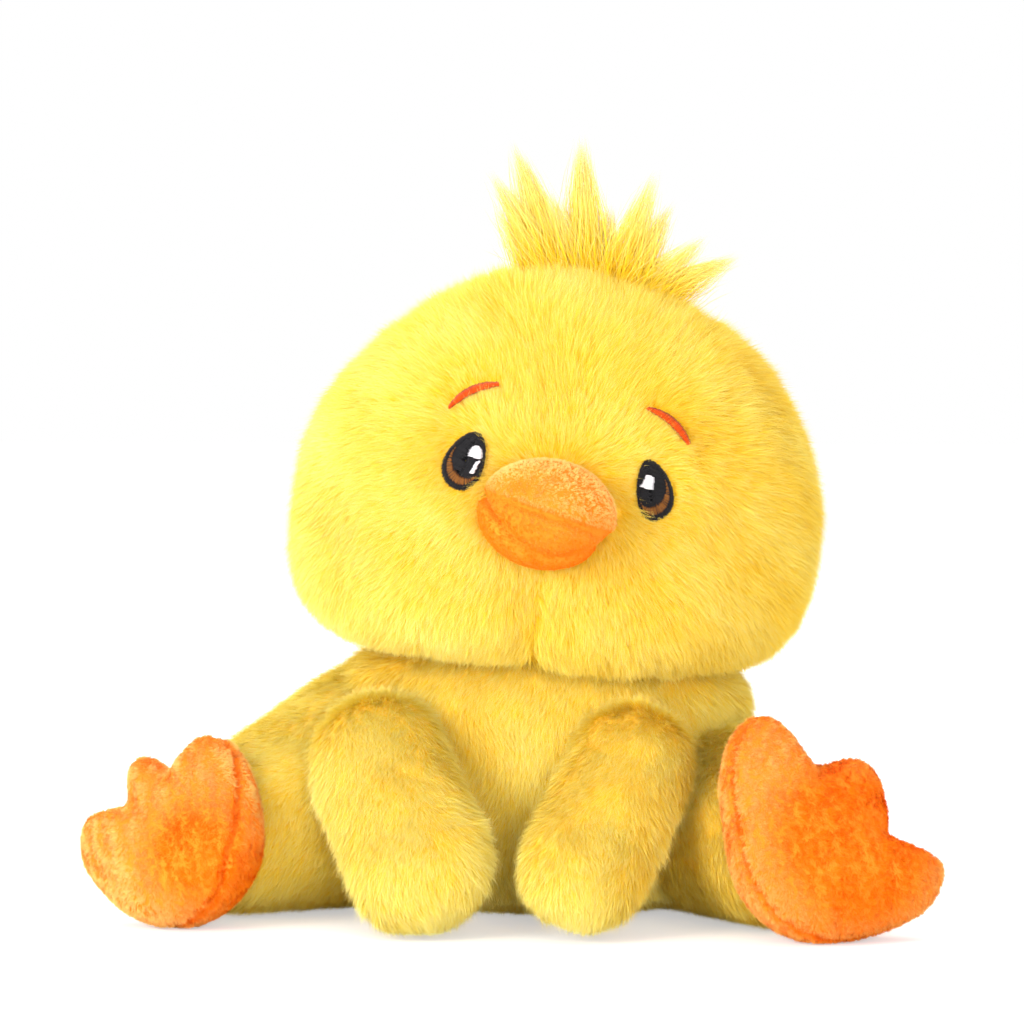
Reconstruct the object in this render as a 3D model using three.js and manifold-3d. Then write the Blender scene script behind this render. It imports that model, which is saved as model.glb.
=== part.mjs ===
// Plush chick: a seated stuffed toy, sewn from plush panels over polyester stuffing.
// Millimetres, +Z up. The chick faces -Y, and the middle of its seat is the origin.
// Left and right are the chick's own, so its left side lies at +X.
import * as THREE from "three";
import { mergeVertices } from "three/addons/utils/BufferGeometryUtils.js";
import Module from "manifold-3d";

const wasm = await Module();
wasm.setup();

// Cloth and clearances
const PLUSH = 6; // long-pile cover, backing and pile together
const SHORT_PILE = 3; // short-pile cover of the feet and the beak
const THREAD = 0.9; // height of an embroidered area
const SEAM_GAP = 0.3; // between sewn panels, and between a cover and its stuffing
const JOINT_GAP = 0.4; // between two stuffed forms that turn on each other
const FLAT = 0.5; // how far a resting form is pressed flat by the ground

// Torso: a squat barrel, widest at its belly line
const TORSO_HALF_WIDTH = 74;
const TORSO_HALF_DEPTH = 52;
const BELLY_HEIGHT = 45;
const TORSO_TOP = 95;
const TORSO_SQUARENESS = 4.2;
const TORSO_BACK_SHIFT = 2;
const SIDE_SEAM_BACK = 10; // the torso's side seams lie this far behind its middle
const SEAT_SEAM_HEIGHT = 8.5;
const POUCH_RADIUS = 34;
const POUCH_HEIGHT = 22;
const POUCH_SQUARENESS = 2.4;

// Head: a wide dome over full cheeks
const HEAD_HALF_WIDTH = 89;
const HEAD_HALF_DEPTH = 71;
const CROWN_HEIGHT = 77; // from the widest line up to the crown
const CHEEK_DROP = 57; // from the widest line down to the underside
const CROWN_SQUARENESS = 1.85;
const CHEEK_SQUARENESS = 3.7;
const NECK_SINK = 15; // how far the head presses into the torso's top
const HEAD_FORWARD = 8;
const HEAD_LEAN = 8; // degrees, towards the chick's left
const HEAD_YAW = 7; // degrees, towards the chick's left
const HEAD_SEAM_BACK = 12; // the head's side seams lie this far behind its middle
const HEAD_SWING = 20; // degrees each way about the neck

// Face
const BEAK_HALF_WIDTH = 21.5;
const BEAK_HALF_HEIGHT = 18.5;
const BEAK_LENGTH = 25;
const BEAK_TIP_SQUARENESS = 1.9;
const BEAK_ROOT_SQUARENESS = 2.6;
const BEAK_DROP = 1.2; // below the head's widest line
const BEAK_ROOT_DEPTH = 9; // how far the beak's root lies under the pile
const MOUTH_DROP = 3; // the mouth seam lies below the beak's middle
const EYE_HALF_WIDTH = 7.3;
const EYE_HALF_HEIGHT = 10;
const EYE_SPREAD = 29.8;
const EYE_RISE = 11.8; // above the head's widest line
const EYE_LEAN = 15; // degrees, tops towards the middle
const EYE_DEPTH = 3.5; // embroidery lies this far under the pile's surface
const EYE_TAPER = 0.22; // the eye's upper end is narrower than its lower end
const EYE_RIM = 1.3; // black edge outside the brown arc
const BROWN_BAND = 2.6; // the brown arc's width at its middle
const BROWN_OUTWARD = 0.6; // the arc lies to the outside by this share of its width
const GLINT_RADIUS = 2.4;
const GLINT_INWARD = 2.4;
const GLINT_RISE = 3.2;
const SMALL_GLINT_RADIUS = 1.2;
const SMALL_GLINT_STRETCH = 1.6; // its height over its width
const SMALL_GLINT_DROP = 5; // below the large glint
const BROW_LENGTH = 17;
const BROW_WIDTH = 3;
const BROW_SPREAD = 30.5;
const BROW_RISE = 31.5;
const BROW_SLOPE = 33; // degrees, outer ends down
const BROW_ARCH = 1.8;
const BROW_TAPER = 0.8; // how far the brow narrows to its ends

// Crest of long pile, sewn into the crown seam
const CREST_LOCKS = 7;
const CREST_LENGTH = 41;
const CREST_ROOT_RADIUS = 8;
const CREST_TIP_RADIUS = 0.8;
const CREST_SPREAD = 46; // degrees, from the middle lock to each outermost
const CREST_LEAN = 10; // degrees, the middle lock leans to the chick's left
const CREST_HALF_ROOT = 18;
const CREST_SIDE = 4; // the crest's middle, to the chick's left of the crown
const CREST_SINK = 4; // root inside the crown's pile

// Arms: flattened wings that hang from the shoulders and stand on the ground
const SHOULDER_INSET = 28.5; // shoulder's middle, inside the torso's side
const SHOULDER_DROP = 16; // below the torso's top
const SHOULDER_RADIUS = 25;
const HAND_RADIUS = 22.5;
const ARM_FLATNESS = 0.8;
const ARM_SINK = 9; // how far the shoulder presses into the torso
const HAND_INWARD = 18.5; // the hand's middle, nearer the middle than the shoulder's
const HAND_FORWARD = 77;

// Legs: thick haunches that lie on the ground, splayed
const HIP_RADIUS = { right: 43, left: 37 }; // the head leans on the left one
const ANKLE_RADIUS = 27.5;
const HIP_INSET = { right: 21, left: 25 }; // hip's middle, inside the torso's side
const LEG_LENGTH = 62; // hip's middle to ankle's middle
const LEG_SPLAY = { right: 46, left: 36 }; // degrees from straight ahead
const LEG_OPENING = 27; // hip mouth, behind the hip's middle
const LEG_SWING = 25; // degrees outwards
const LEG_CLEAR = 0.7; // room for the leg's facets between the places of its swing

// Feet: stuffed pads with three toes
const FOOT_RADIUS = 28.5; // from the pad's middle to the webs and the heel
const TOES = {
  // each toe's angle outwards from upright, in degrees, and how far it stands out
  right: [[10, 7], [47, 10], [91, 11]],
  left: [[-10, 21], [44, 7.5], [99, 14]],
};
const TOE_WEB = 13.4; // degrees that a toe runs out over, towards the next toe
const TOE_FLANK = 37; // and down the foot's sides
const PAD_FULLNESS = 0.8; // 1 is an ellipse across, and less is fuller
const SOLE_BULGE = 15;
const INSTEP_BULGE = 23;
const FOOT_REACH = 30; // ankle's middle to the pad's seam
const FOOT_YAW = { right: 26, left: 32 }; // degrees from straight ahead
const FOOT_TILT = { right: 29, left: 26 }; // degrees, toes leaning back

// Facets round and along the forms
const HEAD_FACETS = [20, 12];
const TORSO_FACETS = [20, 10];
const LIMB_FACETS = [12, 3];
const FOOT_FACETS = [36, 6];
const SMALL_FACETS = [12, 6];
const LOCK_FACETS = [6, 1];
const OUTLINE_POINTS = 12;
const LINING_SHARE = 0.6; // a cover's inside and its stuffing have fewer facets than its outside
const FAR = 1000;

// Materials
function cloth(colour, roughness = 0.95) {
  return new THREE.MeshStandardMaterial({ color: colour, roughness, metalness: 0 });
}
const yellowPlush = cloth(0xf9dc4e);
const orangePile = cloth(0xff8a24);
const crestPile = cloth(0xf6d245);
const blackThread = cloth(0x17161a, 0.6);
const brownThread = cloth(0x8a4a18, 0.6);
const whiteThread = cloth(0xf4eff2, 0.6);
const redThread = cloth(0xe8420c, 0.6);
const fibreFill = cloth(0xf2f0ea);
const pouchCotton = cloth(0xe6dfcf);

// Small helpers
const radians = THREE.MathUtils.degToRad;
const SIDES = [
  ["right", -1],
  ["left", 1],
];

function lining(facets) {
  return facets.map((n) => 2 * Math.ceil((n * LINING_SHARE) / 2));
}

function toSolid(geometry) {
  const bare = new THREE.BufferGeometry();
  bare.setAttribute("position", geometry.getAttribute("position"));
  bare.setIndex(geometry.index);
  const merged = mergeVertices(bare, 1e-4);
  const corners = merged.index.array;
  const kept = [];
  for (let i = 0; i < corners.length; i += 3) {
    const [a, b, c] = corners.subarray(i, i + 3);
    if (a !== b && b !== c && c !== a) kept.push(a, b, c);
  }
  return new wasm.Manifold(
    new wasm.Mesh({
      numProp: 3,
      vertProperties: merged.attributes.position.array,
      triVerts: new Uint32Array(kept),
    }),
  );
}

function toGeometry(solid) {
  const { vertProperties, triVerts } = solid.getMesh();
  const geometry = new THREE.BufferGeometry();
  geometry.setAttribute("position", new THREE.BufferAttribute(vertProperties, 3));
  geometry.setIndex(new THREE.BufferAttribute(triVerts, 1));
  return geometry;
}

// Half of space on the far side of a plane that stands at an offset along a direction
function halfSpace(direction, offset, pose = new THREE.Matrix4()) {
  const geometry = new THREE.BoxGeometry(FAR, FAR, FAR).translate(0, 0, FAR / 2 + offset);
  const turn = new THREE.Quaternion().setFromUnitVectors(new THREE.Vector3(0, 0, 1), direction);
  return toSolid(geometry.applyQuaternion(turn).applyMatrix4(pose));
}

const X = new THREE.Vector3(1, 0, 0);
const Y = new THREE.Vector3(0, 1, 0);
const Z = new THREE.Vector3(0, 0, 1);
const aboveGround = halfSpace(Z, 0);

// The two sides of a sewn seam, which runs where a plane meets the cover
function seamed(solid, direction, offset, pose) {
  const ahead = halfSpace(direction, offset + SEAM_GAP / 2, pose);
  const behind = halfSpace(direction.clone().negate(), -offset + SEAM_GAP / 2, pose);
  return [solid.intersect(ahead), solid.intersect(behind)];
}

function joined(solids) {
  return solids.reduce((sum, solid) => sum.add(solid));
}

// A ball-shaped room whose flats, too, stay clear of a ball of the given radius
function ballRoom(middle, radius, [around]) {
  const clear = radius / Math.cos(Math.PI / around) ** 2;
  const ball = new THREE.SphereGeometry(clear, around, around / 2);
  return toSolid(ball.translate(middle.x, middle.y, middle.z));
}

// A form turned about Z: a profile of radii and heights from its lowest point to its highest
function turned(profile, around) {
  return new THREE.LatheGeometry(profile, around).rotateX(Math.PI / 2);
}

// A barrel or dome: elliptic sections, widest at height zero, with a rounder or squarer end each way
function barrel(size, grow, [around, along]) {
  const radius = size.halfWidth + grow;
  const profile = [];
  for (let i = 0; i <= along; i++) {
    const angle = Math.PI * (i / along - 0.5);
    const end = angle < 0 ? size.below : size.above;
    const power = 2 / (angle < 0 ? size.belowSquareness : size.aboveSquareness);
    const out = i === 0 || i === along ? 0 : Math.cos(angle) ** power;
    const height = Math.sign(angle) * (end + grow) * Math.abs(Math.sin(angle)) ** power;
    profile.push(new THREE.Vector2(radius * out, height));
  }
  return turned(profile, around).scale(1, (size.halfDepth + grow) / radius, 1);
}

// A limb between two balls, the first at the origin and the second along +Z
function limb(rootRadius, tipRadius, length, grow, [around, along]) {
  const lean = Math.asin((rootRadius - tipRadius) / length);
  const arc = (radius, height, from, to) =>
    Array.from({ length: along + 1 }, (_, i) => {
      const angle = from + ((to - from) * i) / along;
      const out = Math.abs(angle) === Math.PI / 2 ? 0 : Math.cos(angle);
      return new THREE.Vector2(radius * out, height + radius * Math.sin(angle));
    });
  const root = arc(rootRadius + grow, 0, -Math.PI / 2, lean);
  const tip = arc(tipRadius + grow, length, lean, Math.PI / 2);
  return turned([...root, ...tip], around);
}

// How far the foot's outline stands from its middle, by the angle outwards from upright
function toeOutline(toes, angle) {
  const turn = THREE.MathUtils.radToDeg(angle);
  let reach = FOOT_RADIUS;
  toes.forEach(([middle, rise], i) => {
    const off = THREE.MathUtils.euclideanModulo(turn - middle + 180, 360) - 180;
    const flank = off < 0 ? i === 0 : i === toes.length - 1;
    reach += rise * Math.exp(-((off / (flank ? TOE_FLANK : TOE_WEB)) ** 2));
  });
  return reach;
}

// The foot's pad: the outline in X and Z with its heel down, and the sole towards -Y
function footPad({ name, side }, grow, [around, along]) {
  const pad = new THREE.SphereGeometry(1, around, along);
  const place = pad.getAttribute("position");
  for (let i = 0; i < place.count; i++) {
    const [x, y, z] = [place.getX(i), place.getY(i), place.getZ(i)];
    const angle = Math.atan2(z, x);
    const reach = Math.hypot(x, z) ** PAD_FULLNESS * (toeOutline(TOES[name], side * angle) + grow);
    const bulge = y > 0 ? SOLE_BULGE : INSTEP_BULGE;
    place.setXYZ(i, reach * Math.sin(angle), -y * (bulge + grow), reach * Math.cos(angle));
  }
  return pad;
}

// Places: each moving group stands at the point that it turns about
const chick = new THREE.Group();
chick.name = "plush_chick";

function placed(name, parent, position, rotation = new THREE.Euler()) {
  const group = new THREE.Group();
  group.name = name;
  group.position.copy(position);
  group.rotation.copy(rotation);
  parent.add(group);
  group.updateWorldMatrix(true, false);
  return group;
}

function addPiece(group, name, solid, material) {
  const geometry = toGeometry(solid).applyMatrix4(group.matrixWorld.clone().invert());
  const mesh = new THREE.Mesh(geometry, material);
  mesh.name = name;
  group.add(mesh);
}

function within(group, geometry) {
  return toSolid(geometry.applyMatrix4(group.matrixWorld));
}

// Torso's form
const torso = placed("torso", chick, new THREE.Vector3());
const TORSO = {
  halfWidth: TORSO_HALF_WIDTH,
  halfDepth: TORSO_HALF_DEPTH,
  above: TORSO_TOP - BELLY_HEIGHT,
  below: BELLY_HEIGHT + FLAT,
  aboveSquareness: TORSO_SQUARENESS,
  belowSquareness: TORSO_SQUARENESS,
};
function torsoForm(grow, facets = TORSO_FACETS) {
  return within(torso, barrel(TORSO, grow, facets).translate(0, TORSO_BACK_SHIFT, BELLY_HEIGHT));
}

// Head's form: its group stands at the neck, with the head's underside at height zero
const neckHeight = TORSO_TOP - NECK_SINK;
const headTilt = new THREE.Euler(0, radians(HEAD_LEAN), radians(HEAD_YAW), "ZYX");
const head = placed("head", chick, new THREE.Vector3(0, -HEAD_FORWARD, neckHeight), headTilt);
const HEAD = {
  halfWidth: HEAD_HALF_WIDTH,
  halfDepth: HEAD_HALF_DEPTH,
  above: CROWN_HEIGHT,
  below: CHEEK_DROP,
  aboveSquareness: CROWN_SQUARENESS,
  belowSquareness: CHEEK_SQUARENESS,
};
function headForm(grow, facets = HEAD_FACETS, size = HEAD) {
  return within(head, barrel(size, grow, facets).translate(0, 0, CHEEK_DROP));
}
// The head's room is deeper than the head, by what its wider side sweeps,
// and its flats clear the head's edges
const headSweep = (HEAD_HALF_WIDTH - HEAD_HALF_DEPTH) * Math.sin(2 * radians(HEAD_SWING));
const headClear = 1 / Math.cos(Math.PI / HEAD_FACETS[0]);
const headRoom = headForm(JOINT_GAP, HEAD_FACETS, {
  ...HEAD,
  halfWidth: HEAD_HALF_WIDTH * headClear,
  halfDepth: (HEAD_HALF_DEPTH + headSweep) * headClear,
});

// Legs' forms: each group stands at the hip, and its +Z runs along the leg
const legs = SIDES.map(([name, side]) => {
  const radius = HIP_RADIUS[name];
  const spread = TORSO_HALF_WIDTH - HIP_INSET[name];
  const hip = new THREE.Vector3(side * spread, TORSO_BACK_SHIFT, radius - FLAT);
  const fall = Math.asin((radius - ANKLE_RADIUS) / LEG_LENGTH);
  const flat = Math.cos(fall);
  const along = new THREE.Vector3(
    side * flat * Math.sin(radians(LEG_SPLAY[name])),
    -flat * Math.cos(radians(LEG_SPLAY[name])),
    -Math.sin(fall),
  );
  const turn = new THREE.Quaternion().setFromUnitVectors(Z, along);
  const group = placed(`${name}_leg`, chick, hip, new THREE.Euler().setFromQuaternion(turn));
  return { name, side, group, radius };
});
function legForm({ group, radius }, grow, facets = LIMB_FACETS) {
  return within(group, limb(radius, ANKLE_RADIUS, LEG_LENGTH, grow, facets)).intersect(aboveGround);
}
const legRoom = joined(legs.map((leg) => legForm(leg, JOINT_GAP)));
const SWING_PLACES = [0, 0.5, 1]; // shares of the leg's swing
function legSwung({ group, radius, side }, share) {
  const swing = new THREE.Matrix4().makeRotationZ(side * radians(LEG_SWING) * share);
  const swung = limb(radius, ANKLE_RADIUS, LEG_LENGTH, LEG_CLEAR, LIMB_FACETS);
  swung.applyQuaternion(group.quaternion).applyMatrix4(swing.setPosition(group.position));
  return toSolid(swung);
}
const hipRoom = joined([
  ...legs.map(({ group, radius }) => ballRoom(group.position, radius + JOINT_GAP, TORSO_FACETS)),
  ...legs.flatMap((leg) => SWING_PLACES.map((share) => legSwung(leg, share))),
]);

// Arms' forms: each group stands where the shoulder's top is sewn to the torso, with +Z along the arm
function torsoFront(x, z) {
  const power = TORSO_SQUARENESS;
  const high = Math.abs(z - BELLY_HEIGHT) / (z < BELLY_HEIGHT ? TORSO.below : TORSO.above);
  const share = (1 - high ** power) ** (1 / power);
  const across = Math.sqrt(Math.max(0, share ** 2 - (x / TORSO_HALF_WIDTH) ** 2));
  return TORSO_BACK_SHIFT - TORSO_HALF_DEPTH * across;
}
const shoulderSpread = TORSO_HALF_WIDTH - SHOULDER_INSET;
const shoulderTop = TORSO_TOP - SHOULDER_DROP;
const shoulderMiddle = shoulderTop - SHOULDER_RADIUS;
const arms = SIDES.map(([name, side]) => {
  const sewn = torsoFront(shoulderSpread, shoulderMiddle);
  const start = new THREE.Vector3(
    side * shoulderSpread,
    sewn - ARM_FLATNESS * SHOULDER_RADIUS + ARM_SINK,
    shoulderMiddle,
  );
  const handSpread = shoulderSpread - HAND_INWARD;
  const end = new THREE.Vector3(side * handSpread, -HAND_FORWARD, HAND_RADIUS - FLAT);
  const along = end.clone().sub(start);
  const turn = new THREE.Matrix4().lookAt(end, start, Y);
  const hinge = new THREE.Vector3(side * shoulderSpread, sewn, shoulderTop);
  const group = placed(`${name}_arm`, chick, hinge, new THREE.Euler().setFromRotationMatrix(turn));
  const inset = start.sub(hinge).applyQuaternion(group.quaternion.clone().invert());
  return { name, side, group, inset, length: along.length() };
});
function armForm({ group, inset, length }, grow, facets = LIMB_FACETS) {
  const shape = limb(SHOULDER_RADIUS, HAND_RADIUS, length, grow, facets);
  const thin = (ARM_FLATNESS * SHOULDER_RADIUS + grow) / (SHOULDER_RADIUS + grow);
  const hung = shape.scale(1, thin, 1).translate(inset.x, inset.y, inset.z);
  return within(group, hung).intersect(aboveGround);
}

// Feet's forms: each group stands at the ankle, turned so that the sole faces -Y of the group
const feet = legs.map((leg) => {
  const group = placed(`${leg.name}_foot`, leg.group, new THREE.Vector3(0, 0, LEG_LENGTH));
  const yaw = leg.side * radians(FOOT_YAW[leg.name]);
  const aim = new THREE.Euler(-radians(FOOT_TILT[leg.name]), 0, yaw, "ZXY");
  group.quaternion.copy(leg.group.quaternion).invert().multiply(new THREE.Quaternion().setFromEuler(aim));
  group.updateWorldMatrix(true, false);
  const pad = footPad(leg, 0, FOOT_FACETS).translate(0, -FOOT_REACH, 0).applyMatrix4(group.matrixWorld);
  pad.computeBoundingBox();
  const seated = Z.clone().multiplyScalar(-FLAT - pad.boundingBox.min.z);
  const ankle = new THREE.Vector3().setFromMatrixPosition(group.matrixWorld);
  return { name: leg.name, leg, group, seated, ankle };
});
function footForm({ leg, group, seated }, grow, facets = FOOT_FACETS) {
  const pad = within(group, footPad(leg, grow, facets).translate(0, -FOOT_REACH, 0));
  return pad.translate(seated.toArray()).intersect(aboveGround);
}

// Torso: front, two backs and the seat, round the stuffing and a pouch of pellets
{
  const room = headRoom.add(hipRoom);
  const inside = torsoForm(-PLUSH, lining(TORSO_FACETS)).intersect(halfSpace(Z, PLUSH));
  const cover = torsoForm(0).intersect(aboveGround).subtract(inside).subtract(room);
  const [upper, seat] = seamed(cover, Z, SEAT_SEAM_HEIGHT);
  const [back, front] = seamed(upper, Y, SIDE_SEAM_BACK);
  const [backLeft, backRight] = seamed(back, X, 0);
  addPiece(torso, "torso_front_panel", front, yellowPlush);
  addPiece(torso, "torso_back_left_panel", backLeft, yellowPlush);
  addPiece(torso, "torso_back_right_panel", backRight, yellowPlush);
  addPiece(torso, "seat_panel", seat, yellowPlush);

  const floor = PLUSH + SEAM_GAP;
  const pouchSize = {
    halfWidth: POUCH_RADIUS,
    halfDepth: POUCH_RADIUS,
    above: POUCH_HEIGHT,
    below: POUCH_HEIGHT,
    aboveSquareness: POUCH_SQUARENESS,
    belowSquareness: POUCH_SQUARENESS,
  };
  const pouchForm = (grow) =>
    within(torso, barrel(pouchSize, grow, SMALL_FACETS).translate(0, TORSO_BACK_SHIFT, floor));
  const filled = torsoForm(-PLUSH - SEAM_GAP, lining(TORSO_FACETS))
    .intersect(halfSpace(Z, floor))
    .subtract(room);
  addPiece(torso, "torso_stuffing", filled.subtract(pouchForm(SEAM_GAP)), fibreFill);
  addPiece(torso, "pellet_pouch", filled.intersect(pouchForm(0)), pouchCotton);
}

// Beak: an upper and a lower panel round its own stuffing, set into the face
const beakMiddle = CHEEK_DROP - BEAK_DROP;
function beakForm(grow, facets = SMALL_FACETS) {
  const size = {
    halfWidth: BEAK_HALF_WIDTH,
    halfDepth: BEAK_HALF_HEIGHT,
    above: BEAK_LENGTH,
    below: BEAK_ROOT_DEPTH,
    aboveSquareness: BEAK_TIP_SQUARENESS,
    belowSquareness: BEAK_ROOT_SQUARENESS,
  };
  const beak = barrel(size, grow, facets).rotateX(Math.PI / 2);
  return within(head, beak.translate(0, -HEAD_HALF_DEPTH, beakMiddle));
}

// A prism along the head's Y that has an outline in X and Z, from the face's front to its middle
function facePrism(outline, x, z, turn) {
  const prism = new THREE.ExtrudeGeometry(outline, { depth: HEAD_HALF_DEPTH * 2, bevelEnabled: false });
  prism.rotateX(Math.PI / 2).rotateY(-turn).translate(x, 0, z);
  return within(head, prism);
}

function ellipse(halfWidth, halfHeight, taper = 0) {
  const curve = new THREE.EllipseCurve(0, 0, halfWidth, halfHeight);
  const points = curve.getPoints(OUTLINE_POINTS).slice(0, -1);
  for (const point of points) point.x *= 1 - (taper * point.y) / halfHeight;
  return new THREE.Shape(points);
}

// An embroidered area: a layer of thread that follows the face, at a depth under the pile
function stitched(prism, depth) {
  return headForm(-depth).subtract(headForm(-depth - THREAD)).intersect(prism);
}

// The brow's outline: a bar with round ends, bent upwards in the middle
function browOutline(grow) {
  const steps = 4;
  const edge = (side, from) =>
    Array.from({ length: steps + 1 }, (_, i) => {
      const share = from * (2 * (i / steps) - 1);
      const half = (BROW_WIDTH / 2 + grow) * Math.sqrt(1 - BROW_TAPER * share ** 2);
      const rise = BROW_ARCH * (1 - share ** 2);
      return new THREE.Vector2((BROW_LENGTH / 2 + grow) * share, rise + side * half);
    });
  return new THREE.Shape([...edge(-1, 1), ...edge(1, -1)]);
}

// Head: two face panels and two back panels round the stuffing, with the face sewn on
{
  const eyeHeight = CHEEK_DROP + EYE_RISE;
  const browHeight = CHEEK_DROP + BROW_RISE;
  const pockets = [];
  for (const [name, side] of SIDES) {
    const lean = side * radians(EYE_LEAN);
    const eye = (grow, shift = 0) =>
      facePrism(
        ellipse(EYE_HALF_WIDTH + grow, EYE_HALF_HEIGHT + grow, EYE_TAPER),
        side * (EYE_SPREAD - BROWN_OUTWARD * shift),
        eyeHeight + shift,
        lean,
      );
    const brown = (grow) => eye(grow - EYE_RIM).subtract(eye(-grow - EYE_RIM, BROWN_BAND));
    const glintX = side * (EYE_SPREAD - GLINT_INWARD);
    const glintZ = eyeHeight + GLINT_RISE;
    const glint = (grow) =>
      facePrism(ellipse(GLINT_RADIUS + grow, GLINT_RADIUS + grow), glintX, glintZ, 0);
    const smallGlint = (grow) =>
      facePrism(
        ellipse(SMALL_GLINT_RADIUS + grow, SMALL_GLINT_STRETCH * SMALL_GLINT_RADIUS + grow),
        glintX,
        glintZ - SMALL_GLINT_DROP,
        0,
      );
    let black = eye(0).subtract(brown(SEAM_GAP)).subtract(glint(SEAM_GAP));
    if (name === "right") {
      black = black.subtract(smallGlint(SEAM_GAP));
      addPiece(head, "right_eye_small_glint", stitched(smallGlint(0), EYE_DEPTH), whiteThread);
    }
    addPiece(head, `${name}_eye_black`, stitched(black, EYE_DEPTH), blackThread);
    addPiece(head, `${name}_eye_brown_arc`, stitched(brown(0), EYE_DEPTH), brownThread);
    addPiece(head, `${name}_eye_glint`, stitched(glint(0), EYE_DEPTH), whiteThread);

    const slope = -side * radians(BROW_SLOPE);
    const brow = (grow) => facePrism(browOutline(grow), side * BROW_SPREAD, browHeight, slope);
    addPiece(head, `${name}_brow`, stitched(brow(0), EYE_DEPTH), redThread);
    pockets.push(eye(SEAM_GAP), brow(SEAM_GAP));
  }
  const sewnIn = joined(pockets).subtract(headForm(-EYE_DEPTH - THREAD - SEAM_GAP));
  const crestLock = (i) => {
    const share = (2 * i) / (CREST_LOCKS - 1) - 1;
    const out = CREST_SIDE + CREST_HALF_ROOT * share;
    const crown = CROWN_HEIGHT * Math.sqrt(1 - (out / HEAD_HALF_WIDTH) ** 2);
    return limb(CREST_ROOT_RADIUS, CREST_TIP_RADIUS, CREST_LENGTH, 0, LOCK_FACETS)
      .rotateY(radians(CREST_SPREAD * share + CREST_LEAN))
      .translate(out, 0, CHEEK_DROP + crown - CREST_SINK);
  };
  const locks = Array.from({ length: CREST_LOCKS }, (_, i) => within(head, crestLock(i)));
  const crest = joined(locks).subtract(headForm(SEAM_GAP));

  const cover = headForm(0)
    .subtract(headForm(-PLUSH, lining(HEAD_FACETS)))
    .subtract(sewnIn)
    .subtract(beakForm(SEAM_GAP));
  const [back, face] = seamed(cover, Y, HEAD_SEAM_BACK, head.matrixWorld);
  const [backLeft, backRight] = seamed(back, X, 0, head.matrixWorld);
  const [faceLeft, faceRight] = seamed(face, X, 0, head.matrixWorld);
  addPiece(head, "head_face_left_panel", faceLeft, yellowPlush);
  addPiece(head, "head_face_right_panel", faceRight, yellowPlush);
  addPiece(head, "head_back_left_panel", backLeft, yellowPlush);
  addPiece(head, "head_back_right_panel", backRight, yellowPlush);
  const inside = headForm(-PLUSH - SEAM_GAP, lining(HEAD_FACETS));
  addPiece(head, "head_stuffing", inside.subtract(beakForm(SEAM_GAP)), fibreFill);
  addPiece(head, "head_crest", crest, crestPile);

  const mouth = beakMiddle - MOUTH_DROP;
  const skin = beakForm(0).subtract(beakForm(-SHORT_PILE, lining(SMALL_FACETS)));
  const [upper, lower] = seamed(skin, Z, mouth, head.matrixWorld);
  addPiece(head, "beak_upper_panel", upper, orangePile);
  addPiece(head, "beak_lower_panel", lower, orangePile);
  addPiece(head, "beak_stuffing", beakForm(-SHORT_PILE - SEAM_GAP, lining(SMALL_FACETS)), fibreFill);
}

// Arms: a front and a back panel round the stuffing, cut by the torso, the legs and the head
for (const arm of arms) {
  const larger = joined([torsoForm(JOINT_GAP), headRoom, legRoom]);
  const cover = armForm(arm, 0).subtract(armForm(arm, -PLUSH, lining(LIMB_FACETS))).subtract(larger);
  const middle = arm.inset.y;
  const [back, front] = seamed(cover, Y, middle, arm.group.matrixWorld);
  addPiece(arm.group, `${arm.name}_arm_front_panel`, front, yellowPlush);
  addPiece(arm.group, `${arm.name}_arm_back_panel`, back, yellowPlush);
  const inside = armForm(arm, -PLUSH - SEAM_GAP, lining(LIMB_FACETS)).subtract(larger);
  addPiece(arm.group, `${arm.name}_arm_stuffing`, inside, fibreFill);
}

// Legs: a tube of plush that is open at the hip, round its stuffing
for (const leg of legs) {
  const mouth = halfSpace(Z, -LEG_OPENING, leg.group.matrixWorld);
  const cover = legForm(leg, 0).subtract(legForm(leg, -PLUSH, lining(LIMB_FACETS))).intersect(mouth);
  addPiece(leg.group, `${leg.name}_leg_cover`, cover, yellowPlush);
  const inside = legForm(leg, -PLUSH - SEAM_GAP, lining(LIMB_FACETS)).intersect(mouth);
  addPiece(leg.group, `${leg.name}_leg_stuffing`, inside, fibreFill);
}

// Feet: a sole and a top panel round the stuffing, hollowed where the ankle sits
for (const foot of feet) {
  const ball = ballRoom(foot.ankle, ANKLE_RADIUS + JOINT_GAP, TORSO_FACETS);
  const leg = legForm(foot.leg, JOINT_GAP).add(ball);
  const cover = footForm(foot, 0)
    .subtract(footForm(foot, -SHORT_PILE, lining(FOOT_FACETS)))
    .subtract(leg);
  const seam = new THREE.Matrix4().makeTranslation(foot.seated).multiply(foot.group.matrixWorld);
  const [top, sole] = seamed(cover, Y, -FOOT_REACH, seam);
  addPiece(foot.group, `${foot.name}_foot_sole_panel`, sole, orangePile);
  addPiece(foot.group, `${foot.name}_foot_top_panel`, top, orangePile);
  const inside = footForm(foot, -SHORT_PILE - SEAM_GAP, lining(FOOT_FACETS)).subtract(leg);
  addPiece(foot.group, `${foot.name}_foot_stuffing`, inside, fibreFill);
}

export default chick;
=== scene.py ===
"""Plush chick, seated: its long plush, its short-pile feet and beak and its embroidered face,
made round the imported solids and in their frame: +Z up, and the chick faces -Y. The camera and
the studio are in metres, and the chick's own sizes in millimetres, which MM makes into metres."""

import math

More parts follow.
